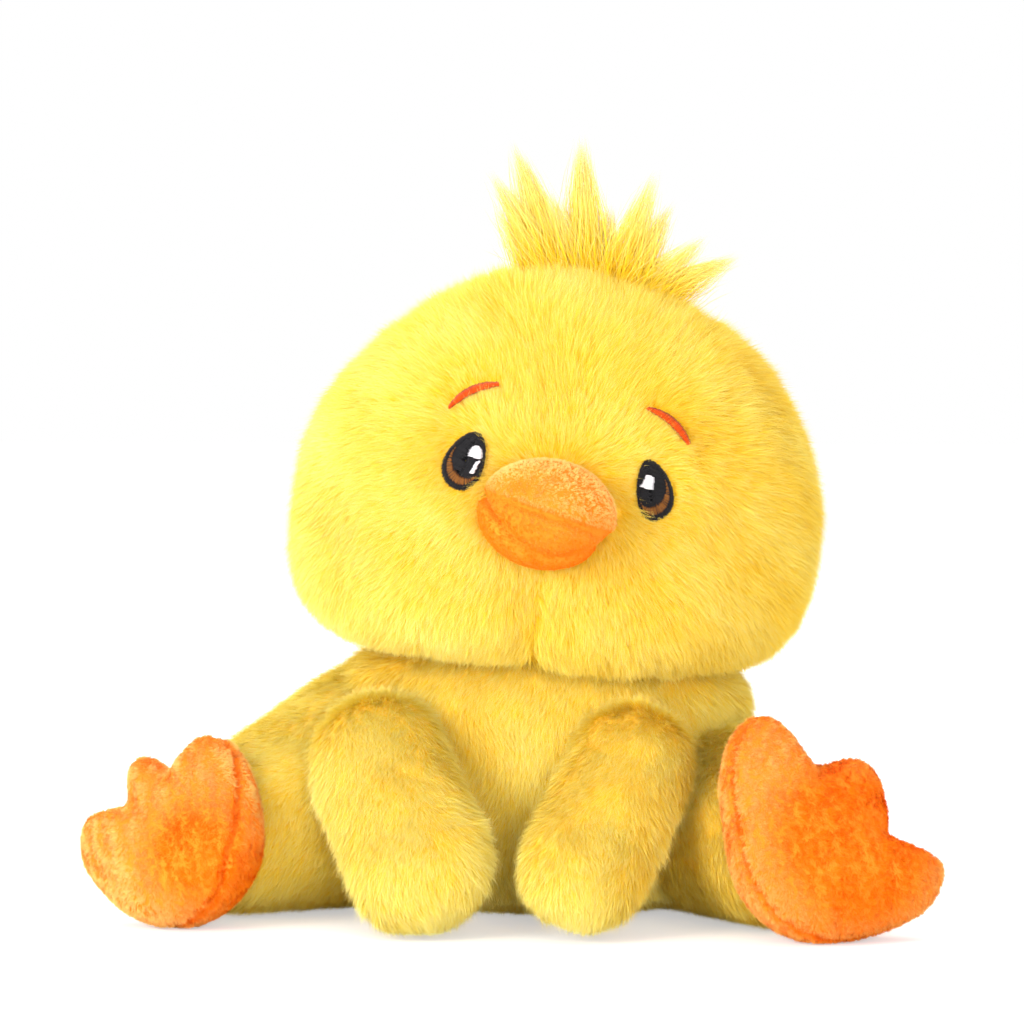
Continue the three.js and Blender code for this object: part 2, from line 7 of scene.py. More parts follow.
import bpy
import numpy as np
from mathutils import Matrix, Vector


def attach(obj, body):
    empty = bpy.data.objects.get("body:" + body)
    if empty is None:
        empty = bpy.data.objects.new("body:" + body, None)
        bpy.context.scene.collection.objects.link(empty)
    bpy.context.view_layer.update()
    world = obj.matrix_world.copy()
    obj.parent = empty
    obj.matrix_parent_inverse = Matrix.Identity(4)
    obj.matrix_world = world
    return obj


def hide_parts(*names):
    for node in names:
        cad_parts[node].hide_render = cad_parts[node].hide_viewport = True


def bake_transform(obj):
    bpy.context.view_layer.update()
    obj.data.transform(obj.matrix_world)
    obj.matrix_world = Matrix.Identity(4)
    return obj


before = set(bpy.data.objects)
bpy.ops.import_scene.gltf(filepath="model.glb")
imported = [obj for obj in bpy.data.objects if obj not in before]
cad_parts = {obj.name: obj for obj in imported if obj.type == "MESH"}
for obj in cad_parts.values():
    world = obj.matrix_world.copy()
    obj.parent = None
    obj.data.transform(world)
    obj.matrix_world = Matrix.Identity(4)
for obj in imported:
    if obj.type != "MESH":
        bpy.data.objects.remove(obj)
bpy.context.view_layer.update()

# Camera: a long lens, nearly level with the chick's eyes and a little to its left,
# so that the picture holds the whole chick with white paper round it.
CAMERA_TURN = math.radians(9)
CAMERA_RISE = math.radians(1.6)
CAMERA_DISTANCE = 1.5
CAMERA_AIM = Vector((-0.009, 0.0, 0.133))
PICTURE_WIDTH = 0.3413
FILM_WIDTH = 36
camera_back = Vector(
    (
        math.sin(CAMERA_TURN) * math.cos(CAMERA_RISE),
        -math.cos(CAMERA_TURN) * math.cos(CAMERA_RISE),
        math.sin(CAMERA_RISE),
    )
)


def put(name, data):
    """A new object in the scene."""
    made = bpy.data.objects.new(name, data)
    bpy.context.scene.collection.objects.link(made)
    return made


lens = bpy.data.cameras.new("camera")
lens.sensor_width = FILM_WIDTH
lens.lens = FILM_WIDTH * CAMERA_DISTANCE / PICTURE_WIDTH
camera = put("camera", lens)
camera.location = CAMERA_AIM + camera_back * CAMERA_DISTANCE
camera.rotation_euler = (-camera_back).to_track_quat("-Z", "Y").to_euler()
bpy.context.scene.camera = camera
bpy.context.scene.view_settings.view_transform = "Standard"

# Studio: a white paper floor under the chick, a large soft lamp on the camera's left,
# weaker ones low in front and high behind, and an even white surround.
PAPER = (0.93, 0.93, 0.92, 1)
PAPER_LIFT = 0.5


def nodes_of(material):
    """Empties a material, and gives what adds a node with its inputs set and what links two sockets."""
    material.use_nodes = True
    tree = material.node_tree
    tree.nodes.clear()

    def add(kind, **inputs):
        node = tree.nodes.new(kind)
        for name, value in inputs.items():
            node.inputs[name.replace("_", " ")].default_value = value
        return node

    return add, tree.links.new


paper = bpy.data.materials.new("white_paper")
add, link = nodes_of(paper)
matt = add("ShaderNodeBsdfDiffuse", Color=PAPER)
lift = add("ShaderNodeEmission")
path = add("ShaderNodeLightPath")
seen = add("ShaderNodeMath")
seen.operation = "MULTIPLY"
seen.inputs[1].default_value = PAPER_LIFT
link(path.outputs["Is Camera Ray"], seen.inputs[0])
link(seen.outputs[0], lift.inputs["Strength"])
both = add("ShaderNodeAddShader")
link(matt.outputs[0], both.inputs[0])
link(lift.outputs[0], both.inputs[1])
surface = add("ShaderNodeOutputMaterial")
link(both.outputs[0], surface.inputs["Surface"])

FLOOR_HALF = 12
floor_mesh = bpy.data.meshes.new("floor")
floor_mesh.from_pydata(
    [(x * FLOOR_HALF, y * FLOOR_HALF, 0) for x, y in ((-1, -1), (1, -1), (1, 1), (-1, 1))],
    [],
    [(0, 1, 2, 3)],
)
floor_mesh.materials.append(paper)
floor = put("floor", floor_mesh)

SURROUND = 0.62
WHITE = (1, 1, 1, 1)
world = bpy.data.worlds.new("studio")
bpy.context.scene.world = world
add, link = nodes_of(world)
glow = add("ShaderNodeBackground", Color=WHITE, Strength=SURROUND)
wall = add("ShaderNodeBackground", Color=WHITE)
path = add("ShaderNodeLightPath")
straight = add("ShaderNodeMath")
straight.operation = "MAXIMUM"
mirrored = add("ShaderNodeMath")
mirrored.operation = "MAXIMUM"
link(path.outputs["Is Camera Ray"], straight.inputs[0])
link(path.outputs["Is Glossy Ray"], straight.inputs[1])
link(straight.outputs[0], mirrored.inputs[0])
link(path.outputs["Is Transmission Ray"], mirrored.inputs[1])
shown = add("ShaderNodeMixShader")
link(mirrored.outputs[0], shown.inputs["Fac"])
link(glow.outputs[0], shown.inputs[1])
link(wall.outputs[0], shown.inputs[2])
surround = add("ShaderNodeOutputWorld")
link(shown.outputs[0], surround.inputs["Surface"])

for name, place, size, power in (
    ("key_lamp", (-1.4, -1.9, 0.65), 1.3, 51),
    ("front_lamp", (0.95, -2.1, 0.3), 1.4, 37),
    ("rear_lamp", (-0.6, 1.4, 2.0), 1.4, 36),
):
    lamp = bpy.data.lights.new(name, "AREA")
    lamp.size = size
    lamp.energy = power
    holder = put(name, lamp)
    holder.location = place
    holder.rotation_euler = (CAMERA_AIM - Vector(place)).to_track_quat("-Z", "Y").to_euler()

# Torso: a squat bag sewn from a front, two backs and a seat, stuffed, with pellets in its base.
# The cover is long yellow plush: a knitted backing with tufts of fibre that lean downwards.
MM = 0.001
SKIN_DEPTH = 3.2  # the knitted backing lies this far under the solids' faces, in millimetres
REST_HEIGHT = 3.0  # and this far over the ground
TORSO_MIDDLE = np.array((0.0, 2.0, 45.0))
TORSO_SIZE = dict(width=74.0, depth=52.0, above=50.0, below=45.5, crown=4.2, base=4.2)
HEAD_PLACE = np.array((0.0, -8.0, 80.0))
HEAD_TURN, HEAD_TILT = math.radians(7), math.radians(8)  # both to the chick's left
level = np.array((math.cos(HEAD_TURN), math.sin(HEAD_TURN), 0))
upright = np.array((0, 0, 1.0))
HEAD_AXES = np.round(  # rows: across the head, back through it and up it
    (
        level * math.cos(HEAD_TILT) - upright * math.sin(HEAD_TILT),
        np.cross(upright, level),
        level * math.sin(HEAD_TILT) + upright * math.cos(HEAD_TILT),
    ),
    5,
)
HEAD_SIZE = dict(width=89.0, depth=71.0, above=77.0, below=57.0, crown=1.85, base=3.7)
CHEEK_LINE = 57.0
LEG_LENGTH = 62.0  # from hip to ankle
ANKLE_RADIUS, ANKLE_HEIGHT = 27.5, 27.0
LEGS = {}  # each leg's hip and ankle, and its radius at the hip
for side, splay, hip, hip_radius in (
    ("right", math.radians(-46), (-53.0, 2.0, 42.5), 43.0),
    ("left", math.radians(36), (49.0, 2.0, 36.5), 37.0),
):
    reach = math.sqrt(LEG_LENGTH**2 - (hip[2] - ANKLE_HEIGHT) ** 2)
    ankle = (hip[0] + reach * math.sin(splay), hip[1] - reach * math.cos(splay), ANKLE_HEIGHT)
    LEGS[side] = np.array(hip), np.round(ankle, 3), hip_radius


def quads(rings, around):
    """Faces between rings of points, which are closed at both ends."""
    faces = []
    for r in range(rings - 1):
        for a in range(around):
            b = (a + 1) % around
            faces.append((r * around + a, r * around + b, (r + 1) * around + b, (r + 1) * around + a))
    faces.append(tuple(range(around))[::-1])
    faces.append(tuple((rings - 1) * around + a for a in range(around)))
    return faces


def barrel(size, grow, around=64, rings=40):
    """A barrel about Z, widest at height zero, with a rounder or squarer end each way."""
    turn = np.linspace(0, 2 * np.pi, around, endpoint=False)
    points = []
    for rise in np.linspace(-0.497 * np.pi, 0.497 * np.pi, rings):
        power = 2 / (size["base"] if rise < 0 else size["crown"])
        out = math.cos(rise) ** power
        end = (size["below"] if rise < 0 else size["above"]) + grow
        height = math.copysign(end * abs(math.sin(rise)) ** power, rise)
        points += [
            ((size["width"] + grow) * out * math.cos(t), (size["depth"] + grow) * out * math.sin(t), height)
            for t in turn
        ]
    return np.array(points), quads(rings, around)


def inside_barrel(points, size, grow):
    """Below one inside the barrel, one on it and more outside."""
    x, y, z = points.T
    out = np.hypot(x / (size["width"] + grow), y / (size["depth"] + grow))
    low = z < 0
    end = np.where(low, size["below"], size["above"]) + grow
    power = np.where(low, size["base"], size["crown"])
    return out**power + (np.abs(z) / end) ** power


def in_head(points):
    """Points of the chick in the head's own frame, from the neck."""
    return (points - HEAD_PLACE) @ HEAD_AXES.T


def from_limb(points, start, end, start_radius, end_radius):
    """How far points lie outside a limb between two balls."""
    run = end - start
    share = np.clip((points - start) @ run / (run @ run), 0, 1)
    return np.linalg.norm(points - start - share[:, None] * run, axis=1) - (
        start_radius + share * (end_radius - start_radius)
    )


def new_object(name, points, faces):
    mesh = bpy.data.meshes.new(name)
    mesh.from_pydata(np.asarray(points).tolist(), [], faces)
    return put(name, mesh)


def settle(piece):
    """Puts what the modifiers make of a piece into its own mesh."""
    bpy.context.view_layer.update()
    made = bpy.data.meshes.new_from_object(piece.evaluated_get(bpy.context.evaluated_depsgraph_get()))
    piece.modifiers.clear()
    old = piece.data
    piece.data = made
    bpy.data.meshes.remove(old)
    made.name = piece.name


def corners(mesh):
    flat = np.empty(len(mesh.vertices) * 3, np.float32)
    mesh.vertices.foreach_get("co", flat)
    return flat.reshape(-1, 3).astype(float)


STUFFING_FRAMES = 18


def stuffed(name, points, faces, held, swell, weave=4.5):
    """A sewn cover filled until its panels swell: cloth under pressure, held along its seams.
    Points are in millimetres, and held says how firmly each point of the cover is sewn down."""
    piece = new_object(name, points * MM, faces)
    remesh = piece.modifiers.new("even_weave", "REMESH")
    remesh.mode = "VOXEL"
    remesh.voxel_size = weave * MM
    settle(piece)
    flat = corners(piece.data)
    sewn = piece.vertex_groups.new(name="sewn")
    for index, firm in enumerate(held(flat / MM)):
        if firm > 0:
            sewn.add([index], min(float(firm), 1.0), "REPLACE")
    cloth = piece.modifiers.new("stuffing", "CLOTH")
    fabric = cloth.settings
    fabric.quality = 4
    fabric.mass = 0.2
    fabric.tension_stiffness = 12
    fabric.compression_stiffness = 12
    fabric.shear_stiffness = 6
    fabric.bending_stiffness = 0.5
    fabric.use_pressure = True
    fabric.uniform_pressure_force = 4
    fabric.effector_weights.gravity = 0
    fabric.vertex_group_mass = "sewn"
    cloth.point_cache.frame_start = 1
    cloth.point_cache.frame_end = STUFFING_FRAMES
    for step in range(1, STUFFING_FRAMES + 1):
        bpy.context.scene.frame_set(step)
    settle(piece)
    bpy.context.scene.frame_set(1)
    moved = corners(piece.data) - flat
    far = np.linalg.norm(moved, axis=1, keepdims=True)
    kept = flat + moved * np.minimum(1, swell * MM / np.maximum(far, 1e-9))
    piece.data.vertices.foreach_set("co", kept.astype(np.float32).ravel())
    piece.vertex_groups.clear()
    smooth = piece.modifiers.new("even", "SMOOTH")
    smooth.iterations = 2
    finer = piece.modifiers.new("finer", "SUBSURF")
    finer.levels = 1
    finer.render_levels = 1
    settle(piece)
    piece.data.shade_smooth()
    return piece


def backing(name, deep, pale, knit):
    """Knitted backing: a warm colour that varies a little, over a fine bump of loops."""
    made = bpy.data.materials.new(name)
    add, link = nodes_of(made)
    place = add("ShaderNodeTexCoord")
    patches = add("ShaderNodeTexNoise", Scale=90, Detail=3)
    link(place.outputs["Object"], patches.inputs["Vector"])
    tint = add("ShaderNodeValToRGB")
    for element, position, colour in zip(tint.color_ramp.elements, (0.3, 0.7), (deep, pale)):
        element.position = position
        element.color = colour
    link(patches.outputs["Fac"], tint.inputs["Fac"])
    loops = add("ShaderNodeTexVoronoi", Scale=knit)
    link(place.outputs["Object"], loops.inputs["Vector"])
    relief = add("ShaderNodeBump", Strength=0.5, Distance=0.0004)
    link(loops.outputs["Distance"], relief.inputs["Height"])
    cloth = add("ShaderNodeBsdfPrincipled", Roughness=0.9, Specular_IOR_Level=0.15)
    link(tint.outputs["Color"], cloth.inputs["Base Color"])
    link(relief.outputs["Normal"], cloth.inputs["Normal"])
    out = add("ShaderNodeOutputMaterial")
    link(cloth.outputs[0], out.inputs["Surface"])
    return made


def pile(name, along, between, roughness=0.7, sheen=0.0):
    """Fibre: one colour ramp from root to tip, tinted from tuft to tuft by a second one.
    A fibre's map holds the share of its length across and its tuft's shade upwards."""
    made = bpy.data.materials.new(name)
    add, link = nodes_of(made)
    place = add("ShaderNodeUVMap")
    place.uv_map = "OFBake"
    split = add("ShaderNodeSeparateXYZ")
    link(place.outputs["UV"], split.inputs[0])
    tinted = add("ShaderNodeMix")
    tinted.data_type = "RGBA"
    tinted.blend_type = "MULTIPLY"
    tinted.inputs["Factor"].default_value = 1
    for axis, stops, socket in (("X", along, 6), ("Y", between, 7)):
        ramp = add("ShaderNodeValToRGB")
        elements = ramp.color_ramp.elements
        while len(elements) < len(stops):
            elements.new(0.5)
        for element, (position, colour) in zip(elements, stops):
            element.position = position
            element.color = (*colour, 1)
        link(split.outputs[axis], ramp.inputs["Fac"])
        link(ramp.outputs["Color"], tinted.inputs[socket])
    fibre = add(
        "ShaderNodeBsdfPrincipled",
        Roughness=roughness, Specular_IOR_Level=0.06, Sheen_Weight=sheen, Sheen_Roughness=0.5,
    )
    link(tinted.outputs[2], fibre.inputs["Base Color"])
    out = add("ShaderNodeOutputMaterial")
    link(fibre.outputs[0], out.inputs["Surface"])
    return made


def strands(name, lines, sides, widths, shades, material):
    """Fibres as fine tapering blades: lines holds each one's points from root to tip,
    sides its flat direction at each point but the last, and widths how wide it is there."""
    count, steps = lines.shape[0], lines.shape[1] - 1
    half = sides * widths[..., None] / 2
    rings = np.stack((lines[:, :-1] - half, lines[:, :-1] + half), axis=2).reshape(count, 2 * steps, 3)
    points = np.concatenate((rings, lines[:, -1:]), axis=1)
    face = []
    for k in range(steps - 1):
        face += [(2 * k, 2 * k + 1, 2 * k + 3), (2 * k, 2 * k + 3, 2 * k + 2)]
    face.append((2 * steps - 2, 2 * steps - 1, 2 * steps))
    each = points.shape[1]
    index = (np.arange(count)[:, None, None] * each + np.array(face)).reshape(-1)
    run = np.append(np.repeat(np.arange(steps) / steps, 2), 1.0)
    charts = np.stack(np.broadcast_arrays(run[None, :], shades[:, None]), axis=2).reshape(-1, 2)
    mesh = bpy.data.meshes.new(name)
    mesh.vertices.add(count * each)
    mesh.vertices.foreach_set("co", (points * MM).astype(np.float32).ravel())
    mesh.loops.add(len(index))
    mesh.loops.foreach_set("vertex_index", index.astype(np.int32))
    mesh.polygons.add(len(index) // 3)
    mesh.polygons.foreach_set("loop_start", np.arange(0, len(index), 3, dtype=np.int32))
    mesh.uv_layers.new(name="OFBake").data.foreach_set("uv", charts[index].astype(np.float32).ravel())
    mesh.update(calc_edges=True)
    mesh.shade_smooth()
    mesh.materials.append(material)
    return put(name, mesh)


def unit(vectors):
    return vectors / np.maximum(np.linalg.norm(vectors, axis=-1, keepdims=True), 1e-9)


def swirl(points, size, seed):
    """A smooth wandering value about -1 to 1, whose waves are about size millimetres long."""
    waves = np.random.default_rng(seed)
    total = np.zeros(len(points))
    for _ in range(5):
        way = unit(waves.normal(size=3)) * 2 * np.pi / (size * waves.uniform(0.7, 1.5))
        total += np.sin(points @ way + waves.uniform(0, 6.3))
    return total / 2.2


def tufted(skin, seed, style, comb, trim, panels, material, ground=0.25, painted_light=None):
    """Pile grown on a skin in tufts: names and tests in panels share it out, one piece for each.
    comb gives the way that the pile lies, trim the share of its full length, none where zero,
    and the painted light and shade how much paler or darker the pile is painted."""
    chance = np.random.default_rng(seed)
    mesh = skin.data
    mesh.calc_loop_triangles()
    points = corners(mesh) / MM
    flat = np.empty(len(mesh.vertices) * 3, np.float32)
    mesh.vertex_normals.foreach_get("vector", flat)
    normals = flat.reshape(-1, 3).astype(float)
    three = np.empty(len(mesh.loop_triangles) * 3, np.int32)
    mesh.loop_triangles.foreach_get("vertices", three)
    three = three.reshape(-1, 3)
    a, b, c = (points[three[:, k]] for k in range(3))
    areas = np.linalg.norm(np.cross(b - a, c - a), axis=1) / 2
    count = int(areas.sum() * style["tufts"])
    chosen = chance.choice(len(three), count, p=areas / areas.sum())
    u, v = chance.random((2, count))
    over = u + v > 1
    u[over], v[over] = 1 - u[over], 1 - v[over]
    mix = np.stack((1 - u - v, u, v), axis=1)[..., None]
    root = (points[three[chosen]] * mix).sum(1)
    out = unit((normals[three[chosen]] * mix).sum(1))
    share = trim(root, out)
    kept = share > 0.02
    root, out, share = root[kept], out[kept], share[kept]
    count = len(root)

    # Where the comb runs into the skin, the pile is shorter and stands up.
    lie = unit(comb(root, out))
    lie = lie - (lie * out).sum(1, keepdims=True) * out
    flat = (2 * np.linalg.norm(lie, axis=1)).clip(0.55, 1)
    lie = unit(lie)
    across = np.cross(out, lie)
    turn = style["swirl"] * swirl(root, style["wave"], seed + 1)
    turn = turn + style["stray"] * chance.normal(size=count)
    long = style["length"] * share * (0.35 + 0.65 * flat)
    long = long * (1 + 0.08 * chance.normal(size=count)).clip(0.75, 1.25)
    leaning = style["lean"] * flat * (0.3 + 0.7 * share.clip(0, 1)) + 4 * swirl(root, 14, seed + 2)
    leaning += 4 * chance.normal(size=count)
    shade = 0.55 + style["patches"] * swirl(root, 30, seed + 3)
    shade = shade + style["mottle"] * chance.normal(size=count)
    # Painted light and shade: a piece's pile may be painted paler where light falls and darker where shade
    # falls.
    if painted_light is not None:
        shade += painted_light(root)
    gather = chance.uniform(*style["gather"], size=count)

    # Each tuft is a bunch of hairs, which start round its root and gather towards its tip.
    hairs = style["hairs"]
    far = style["spread"] * np.sqrt(chance.random((count, hairs)))
    way = chance.uniform(0, 2 * np.pi, (count, hairs))
    offset = far[..., None] * (
        np.cos(way)[..., None] * lie[:, None] + np.sin(way)[..., None] * across[:, None]
    )
    length = long[:, None] * chance.uniform(0.7, 1.1, (count, hairs))
    lean = np.radians(leaning[:, None] + 9 * chance.normal(size=(count, hairs)))[..., None]
    bearing = (turn[:, None] + 0.2 * chance.normal(size=(count, hairs)))[..., None]
    along = lie[:, None] * np.cos(bearing) + across[:, None] * np.sin(bearing)
    start = root[:, None] + offset - 0.4 * out[:, None]
    end = start + length[..., None] * (np.cos(lean) * out[:, None] + np.sin(lean) * along)
    end += style["frizz"] * chance.normal(size=end.shape) - offset * gather[:, None, None]
    lines = np.stack((start, end), axis=2).reshape(-1, 2, 3)
    lines[..., 2] = np.maximum(lines[..., 2], ground * (1 + chance.random(lines.shape[:2])))
    run = unit(lines[:, 1] - lines[:, 0])
    side = unit(np.cross(run, np.repeat(out, hairs, axis=0)) + 0.05 * np.repeat(across, hairs, axis=0))
    roll = np.radians(style["roll"]) * chance.normal(size=len(side))
    sides = (side * np.cos(roll)[:, None] + np.cross(run, side) * np.sin(roll)[:, None])[:, None]
    widths = style["width"] * chance.uniform(0.75, 1.25, (len(side), 1))
    shades = np.repeat(shade, hairs) + style["mottle"] * chance.normal(size=len(side))
    owner = np.repeat(np.select([test(root) for _, test in panels], range(len(panels)), -1), hairs)
    shades = shades.clip(0.02, 0.98)
    made = {}
    for k, (name, _) in enumerate(panels):
        own = owner == k
        made[name] = strands(name, lines[own], sides[own], widths[own], shades[own], material)
    return made


PLUSH = dict(
    tufts=1.15, hairs=8, spread=1.3, length=7.4, lean=71, gather=(0.0, 0.4), swirl=0.3, wave=26,
    stray=0.16, frizz=0.2, roll=25, width=0.2, patches=0.12, mottle=0.16,
)
plush_backing = backing("plush_backing", (1.0, 0.64, 0.05, 1), (1.0, 0.71, 0.09, 1), 900)
# The fibre is painted deep golden at its root and pale at its tip: the deeper roots are partly painted
# shade, down in the pile.
yellow_plush = pile(
    "yellow_plush",
    [(0, (1.0, 0.64, 0.008)), (0.3, (1.0, 0.77, 0.045)), (0.7, (1.0, 0.88, 0.22)), (1, (1.0, 0.95, 0.5))],
    [(0, (1.0, 0.79, 0.24)), (0.5, (1.0, 0.92, 0.66)), (1, (1.0, 1.0, 1.0))],
)
SIDE_SEAM, SEAT_SEAM = 10, 8.5  # how far back the side seams lie, and how high the seat seam


def torso_held(points):
    """The torso is sewn down along its side, back and seat seams, and pressed flat below."""
    x, y, z = points.T
    back_seam = np.where(y > SIDE_SEAM, np.abs(x), 99)
    seam = np.minimum.reduce((np.abs(y - SIDE_SEAM), np.abs(z - SEAT_SEAM), back_seam))
    return np.where(seam < 3, 0.8, 0) + (z < 7)


HEAD_PRESS, HIP_PRESS = 11, 12  # pile lies no deeper than this under the head and the hips, in millimetres


def in_torso(points, deep):
    """Whether points lie deeper than this inside the torso."""
    return inside_barrel(points - TORSO_MIDDLE, TORSO_SIZE, -deep) < 1


def seated_trim(out, hidden, under=0.55):
    """Full pile, shorter where it faces the ground and none where it is hidden."""
    return np.where(hidden, 0, np.where(out[:, 2] < -0.75, under, 1))


def torso_trim(points, out):
    """No pile where the head and the hips are always pressed on the torso, and less under it."""
    hidden = inside_barrel(in_head(points) - (0, 0, CHEEK_LINE), HEAD_SIZE, -HEAD_PRESS) < 1
    for hip, ankle, hip_radius in LEGS.values():
        hidden |= from_limb(points, hip, ankle, hip_radius, ANKLE_RADIUS) < -HIP_PRESS
    return seated_trim(out, hidden)


def downwards(points, out):
    """Pile lies downwards, and outwards under the seat."""
    return np.array((0, 0, -1.0)) + 0.6 * unit(points * (1, 1, 0)) * (out[:, 2:] < -0.6)


def sew_in(skin, body, slot, fill, *fillings):
    """A skin moves with its body, and the fillings that it holds are hidden."""
    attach(skin, body)
    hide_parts(*fillings)


def sew_on(piles, body, cut="panel"):
    """The pile of each panel moves with its body, and that panel is hidden."""
    for name, piece in piles.items():
        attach(piece, body)
        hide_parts(name.replace("plush", cut).replace("pile", cut))


torso_points, torso_faces = barrel(TORSO_SIZE, -SKIN_DEPTH)
torso_points += TORSO_MIDDLE
torso_points[:, 2] = torso_points[:, 2].clip(REST_HEIGHT)
torso_skin = stuffed("torso_backing", torso_points, torso_faces, torso_held, swell=2.0)
torso_skin.data.materials.append(plush_backing)
sew_in(torso_skin, "torso", "yellow_plush", 0.75, "torso_stuffing", "pellet_pouch")
torso_pile = tufted(
    torso_skin, 11, PLUSH, downwards, torso_trim,
    [
        ("seat_plush", lambda p: p[:, 2] < SEAT_SEAM),
        ("torso_front_plush", lambda p: p[:, 1] < SIDE_SEAM),
        ("torso_back_right_plush", lambda p: p[:, 0] < 0),
        ("torso_back_left_plush", lambda p: p[:, 0] >= 0),
    ],
    yellow_plush,
)
sew_on(torso_pile, "torso")

# Legs: tubes of the same plush, open into the torso at the hip and stuffed firm.
# They lie on the ground, splayed, and swing a little outwards at the hip.


def limb(start_radius, end_radius, length, grow, blunt=1.0, around=40, rings=9, spread=7):
    """A limb between two balls, the first at the origin and the second along +Z, which may be blunter."""
    lean = math.asin((start_radius - end_radius) / length)
    profile = []
    for angle in np.linspace(-0.49 * np.pi, lean, rings):
        profile.append(((start_radius + grow) * math.cos(angle), (start_radius + grow) * math.sin(angle)))
    lower = profile[-1]
    tip = [
        ((end_radius + grow) * math.cos(angle) ** blunt, length + (end_radius + grow) * math.sin(angle))
        for angle in np.linspace(lean, 0.49 * np.pi, rings)
    ]
    upper = tip[0]
    for share in np.linspace(0, 1, spread)[1:-1]:
        profile.append(tuple((1 - share) * lower[k] + share * upper[k] for k in (0, 1)))
    profile += tip
    turn = np.linspace(0, 2 * np.pi, around, endpoint=False)
    points = [(r * math.cos(t), r * math.sin(t), h) for r, h in profile for t in turn]
    return np.array(points), quads(len(profile), around)


def turned_to(direction):
    """Rows of a frame whose third axis runs along a direction."""
    third = unit(np.asarray(direction))
    first = unit(np.cross((0, 0, 1.0), third))
    return np.array((first, np.cross(third, first), third))


for side, seed in (("right", 21), ("left", 31)):
    hip, ankle, hip_radius = LEGS[side]
    run = ankle - hip
    leg_points, leg_faces = limb(hip_radius, ANKLE_RADIUS, np.linalg.norm(run), -SKIN_DEPTH)
    leg_points = leg_points @ turned_to(run) + hip
    leg_points[:, 2] = leg_points[:, 2].clip(REST_HEIGHT)
    leg_skin = stuffed(
        f"{side}_leg_backing", leg_points, leg_faces, lambda p: (p[:, 2] < 7).astype(float), swell=2.0
    )
    leg_skin.data.materials.append(plush_backing)
    sew_in(leg_skin, f"{side}_leg", "yellow_plush", 0.8, f"{side}_leg_stuffing")

    def leg_comb(points, out, way=unit(run)):
        """Along the leg and downwards."""
        return way + np.array((0, 0, -0.8))

    def leg_trim(points, out):
        """No pile where the leg is open into the torso."""
        return seated_trim(out, in_torso(points, 13))

    # Painted light and shade: the leg's pile is painted paler up on the haunch, where light falls, and
    # darker low down by the ground.
    leg_pile = tufted(
        leg_skin, seed, PLUSH, leg_comb, leg_trim,
        [(f"{side}_leg_plush", lambda p: p[:, 2] > -1)], yellow_plush,
        painted_light=lambda p: 0.1 + 0.02 * (p[:, 2] - 40).clip(-16, 15),
    )
    sew_on(leg_pile, f"{side}_leg", cut="cover")

# Feet: pads of short orange pile, a sole and a top sewn together round three toes and stuffed.
# The seam draws in round the edge, and creases run in from the webs between the toes.
FOOT_AIM = {"right": (-26, 29), "left": (32, 26)}  # degrees: turned to the side, and leaning back
TOES = {  # each toe's angle outwards from upright, how far it stands out and its spread to a web
    "right": ((3, 10, 9), (44, 10.5, 12), (86, 11.8, 10)),
    "left": ((-12, 21, 11), (38, 9.5, 20), (100, 15.5, 9.5)),
}
WEB_NOTCH = {"right": (3.0, 3.0), "left": (0.0, 3.0)}  # how far each web draws in, in millimetres
FLANK_SPAN = 37.0  # an outer toe's spread on the side that has no web
FOOT_RADIUS, FOOT_REACH = 28.5, 30.0  # the pad's own, and how far it stands in front of the ankle
SOLE_BULGE, TOP_BULGE = 15.0, 23.0
FOOT_SUNK = 0.5  # how far the ground presses the pad's edge flat


def foot_axes(turn, lean):
    """Rows of a foot's own axes: across its sole, back through it and up it."""
    turn, lean = math.radians(turn), math.radians(lean)
    across = np.array((math.cos(turn), math.sin(turn), 0))
    ahead = np.array((-math.sin(turn), math.cos(turn), 0))
    up = np.array((0, 0, 1.0))
    return np.array(
        (across, ahead * math.cos(lean) - up * math.sin(lean), ahead * math.sin(lean) + up * math.cos(lean))
    )


def fade(gap, width):
    """One where a gap is nothing, falling smoothly away over a width."""
    return np.exp(-((gap / width) ** 2))


def toe_outline(angle, toes, notches):
    """How far the foot's edge stands from its middle, by the angle outwards from upright."""
    reach = np.full(len(angle), FOOT_RADIUS)
    for k, (middle, rise, web) in enumerate(toes):
        off = (np.degrees(angle) - middle + 180) % 360 - 180
        below, above = FLANK_SPAN if k == 0 else web, FLANK_SPAN if k == 2 else web
        reach += rise * fade(off, np.where(off < 0, below, above))
    return reach - web_crease(angle, toes, notches)


def web_crease(angle, toes, depths=(1, 1)):
    """A depth along each of the webs between the toes and nothing elsewhere."""
    total = np.zeros(len(angle))
    for (first, _, near), (second, _, far), depth in zip(toes, toes[1:], depths):
        web = first + (second - first) * near / (near + far)
        off = (np.degrees(angle) - web + 180) % 360 - 180
        total += depth * fade(off, 9)
    return total


def foot_pad(side, grow, around=96, rings=27, crease=0.0):
    """The pad with its heel down and its sole towards -Y."""
    points = []
    sign = 1 if side == "left" else -1
    turn = np.linspace(0, 2 * np.pi, around, endpoint=False)
    for rise in np.linspace(0.02 * np.pi, 0.98 * np.pi, rings):
        share = math.sin(rise) ** 0.8
        bulge = (SOLE_BULGE if rise < np.pi / 2 else TOP_BULGE) + grow
        reach = share * (toe_outline(sign * turn, TOES[side], WEB_NOTCH[side]) + grow)
        dip = 1 - crease * web_crease(sign * turn, TOES[side]) * math.sin(rise) ** 3
        points += list(
            zip(reach * np.sin(turn), np.full(around, -math.cos(rise) * bulge) * dip, reach * np.cos(turn))
        )
    return np.array(points), quads(rings, around)


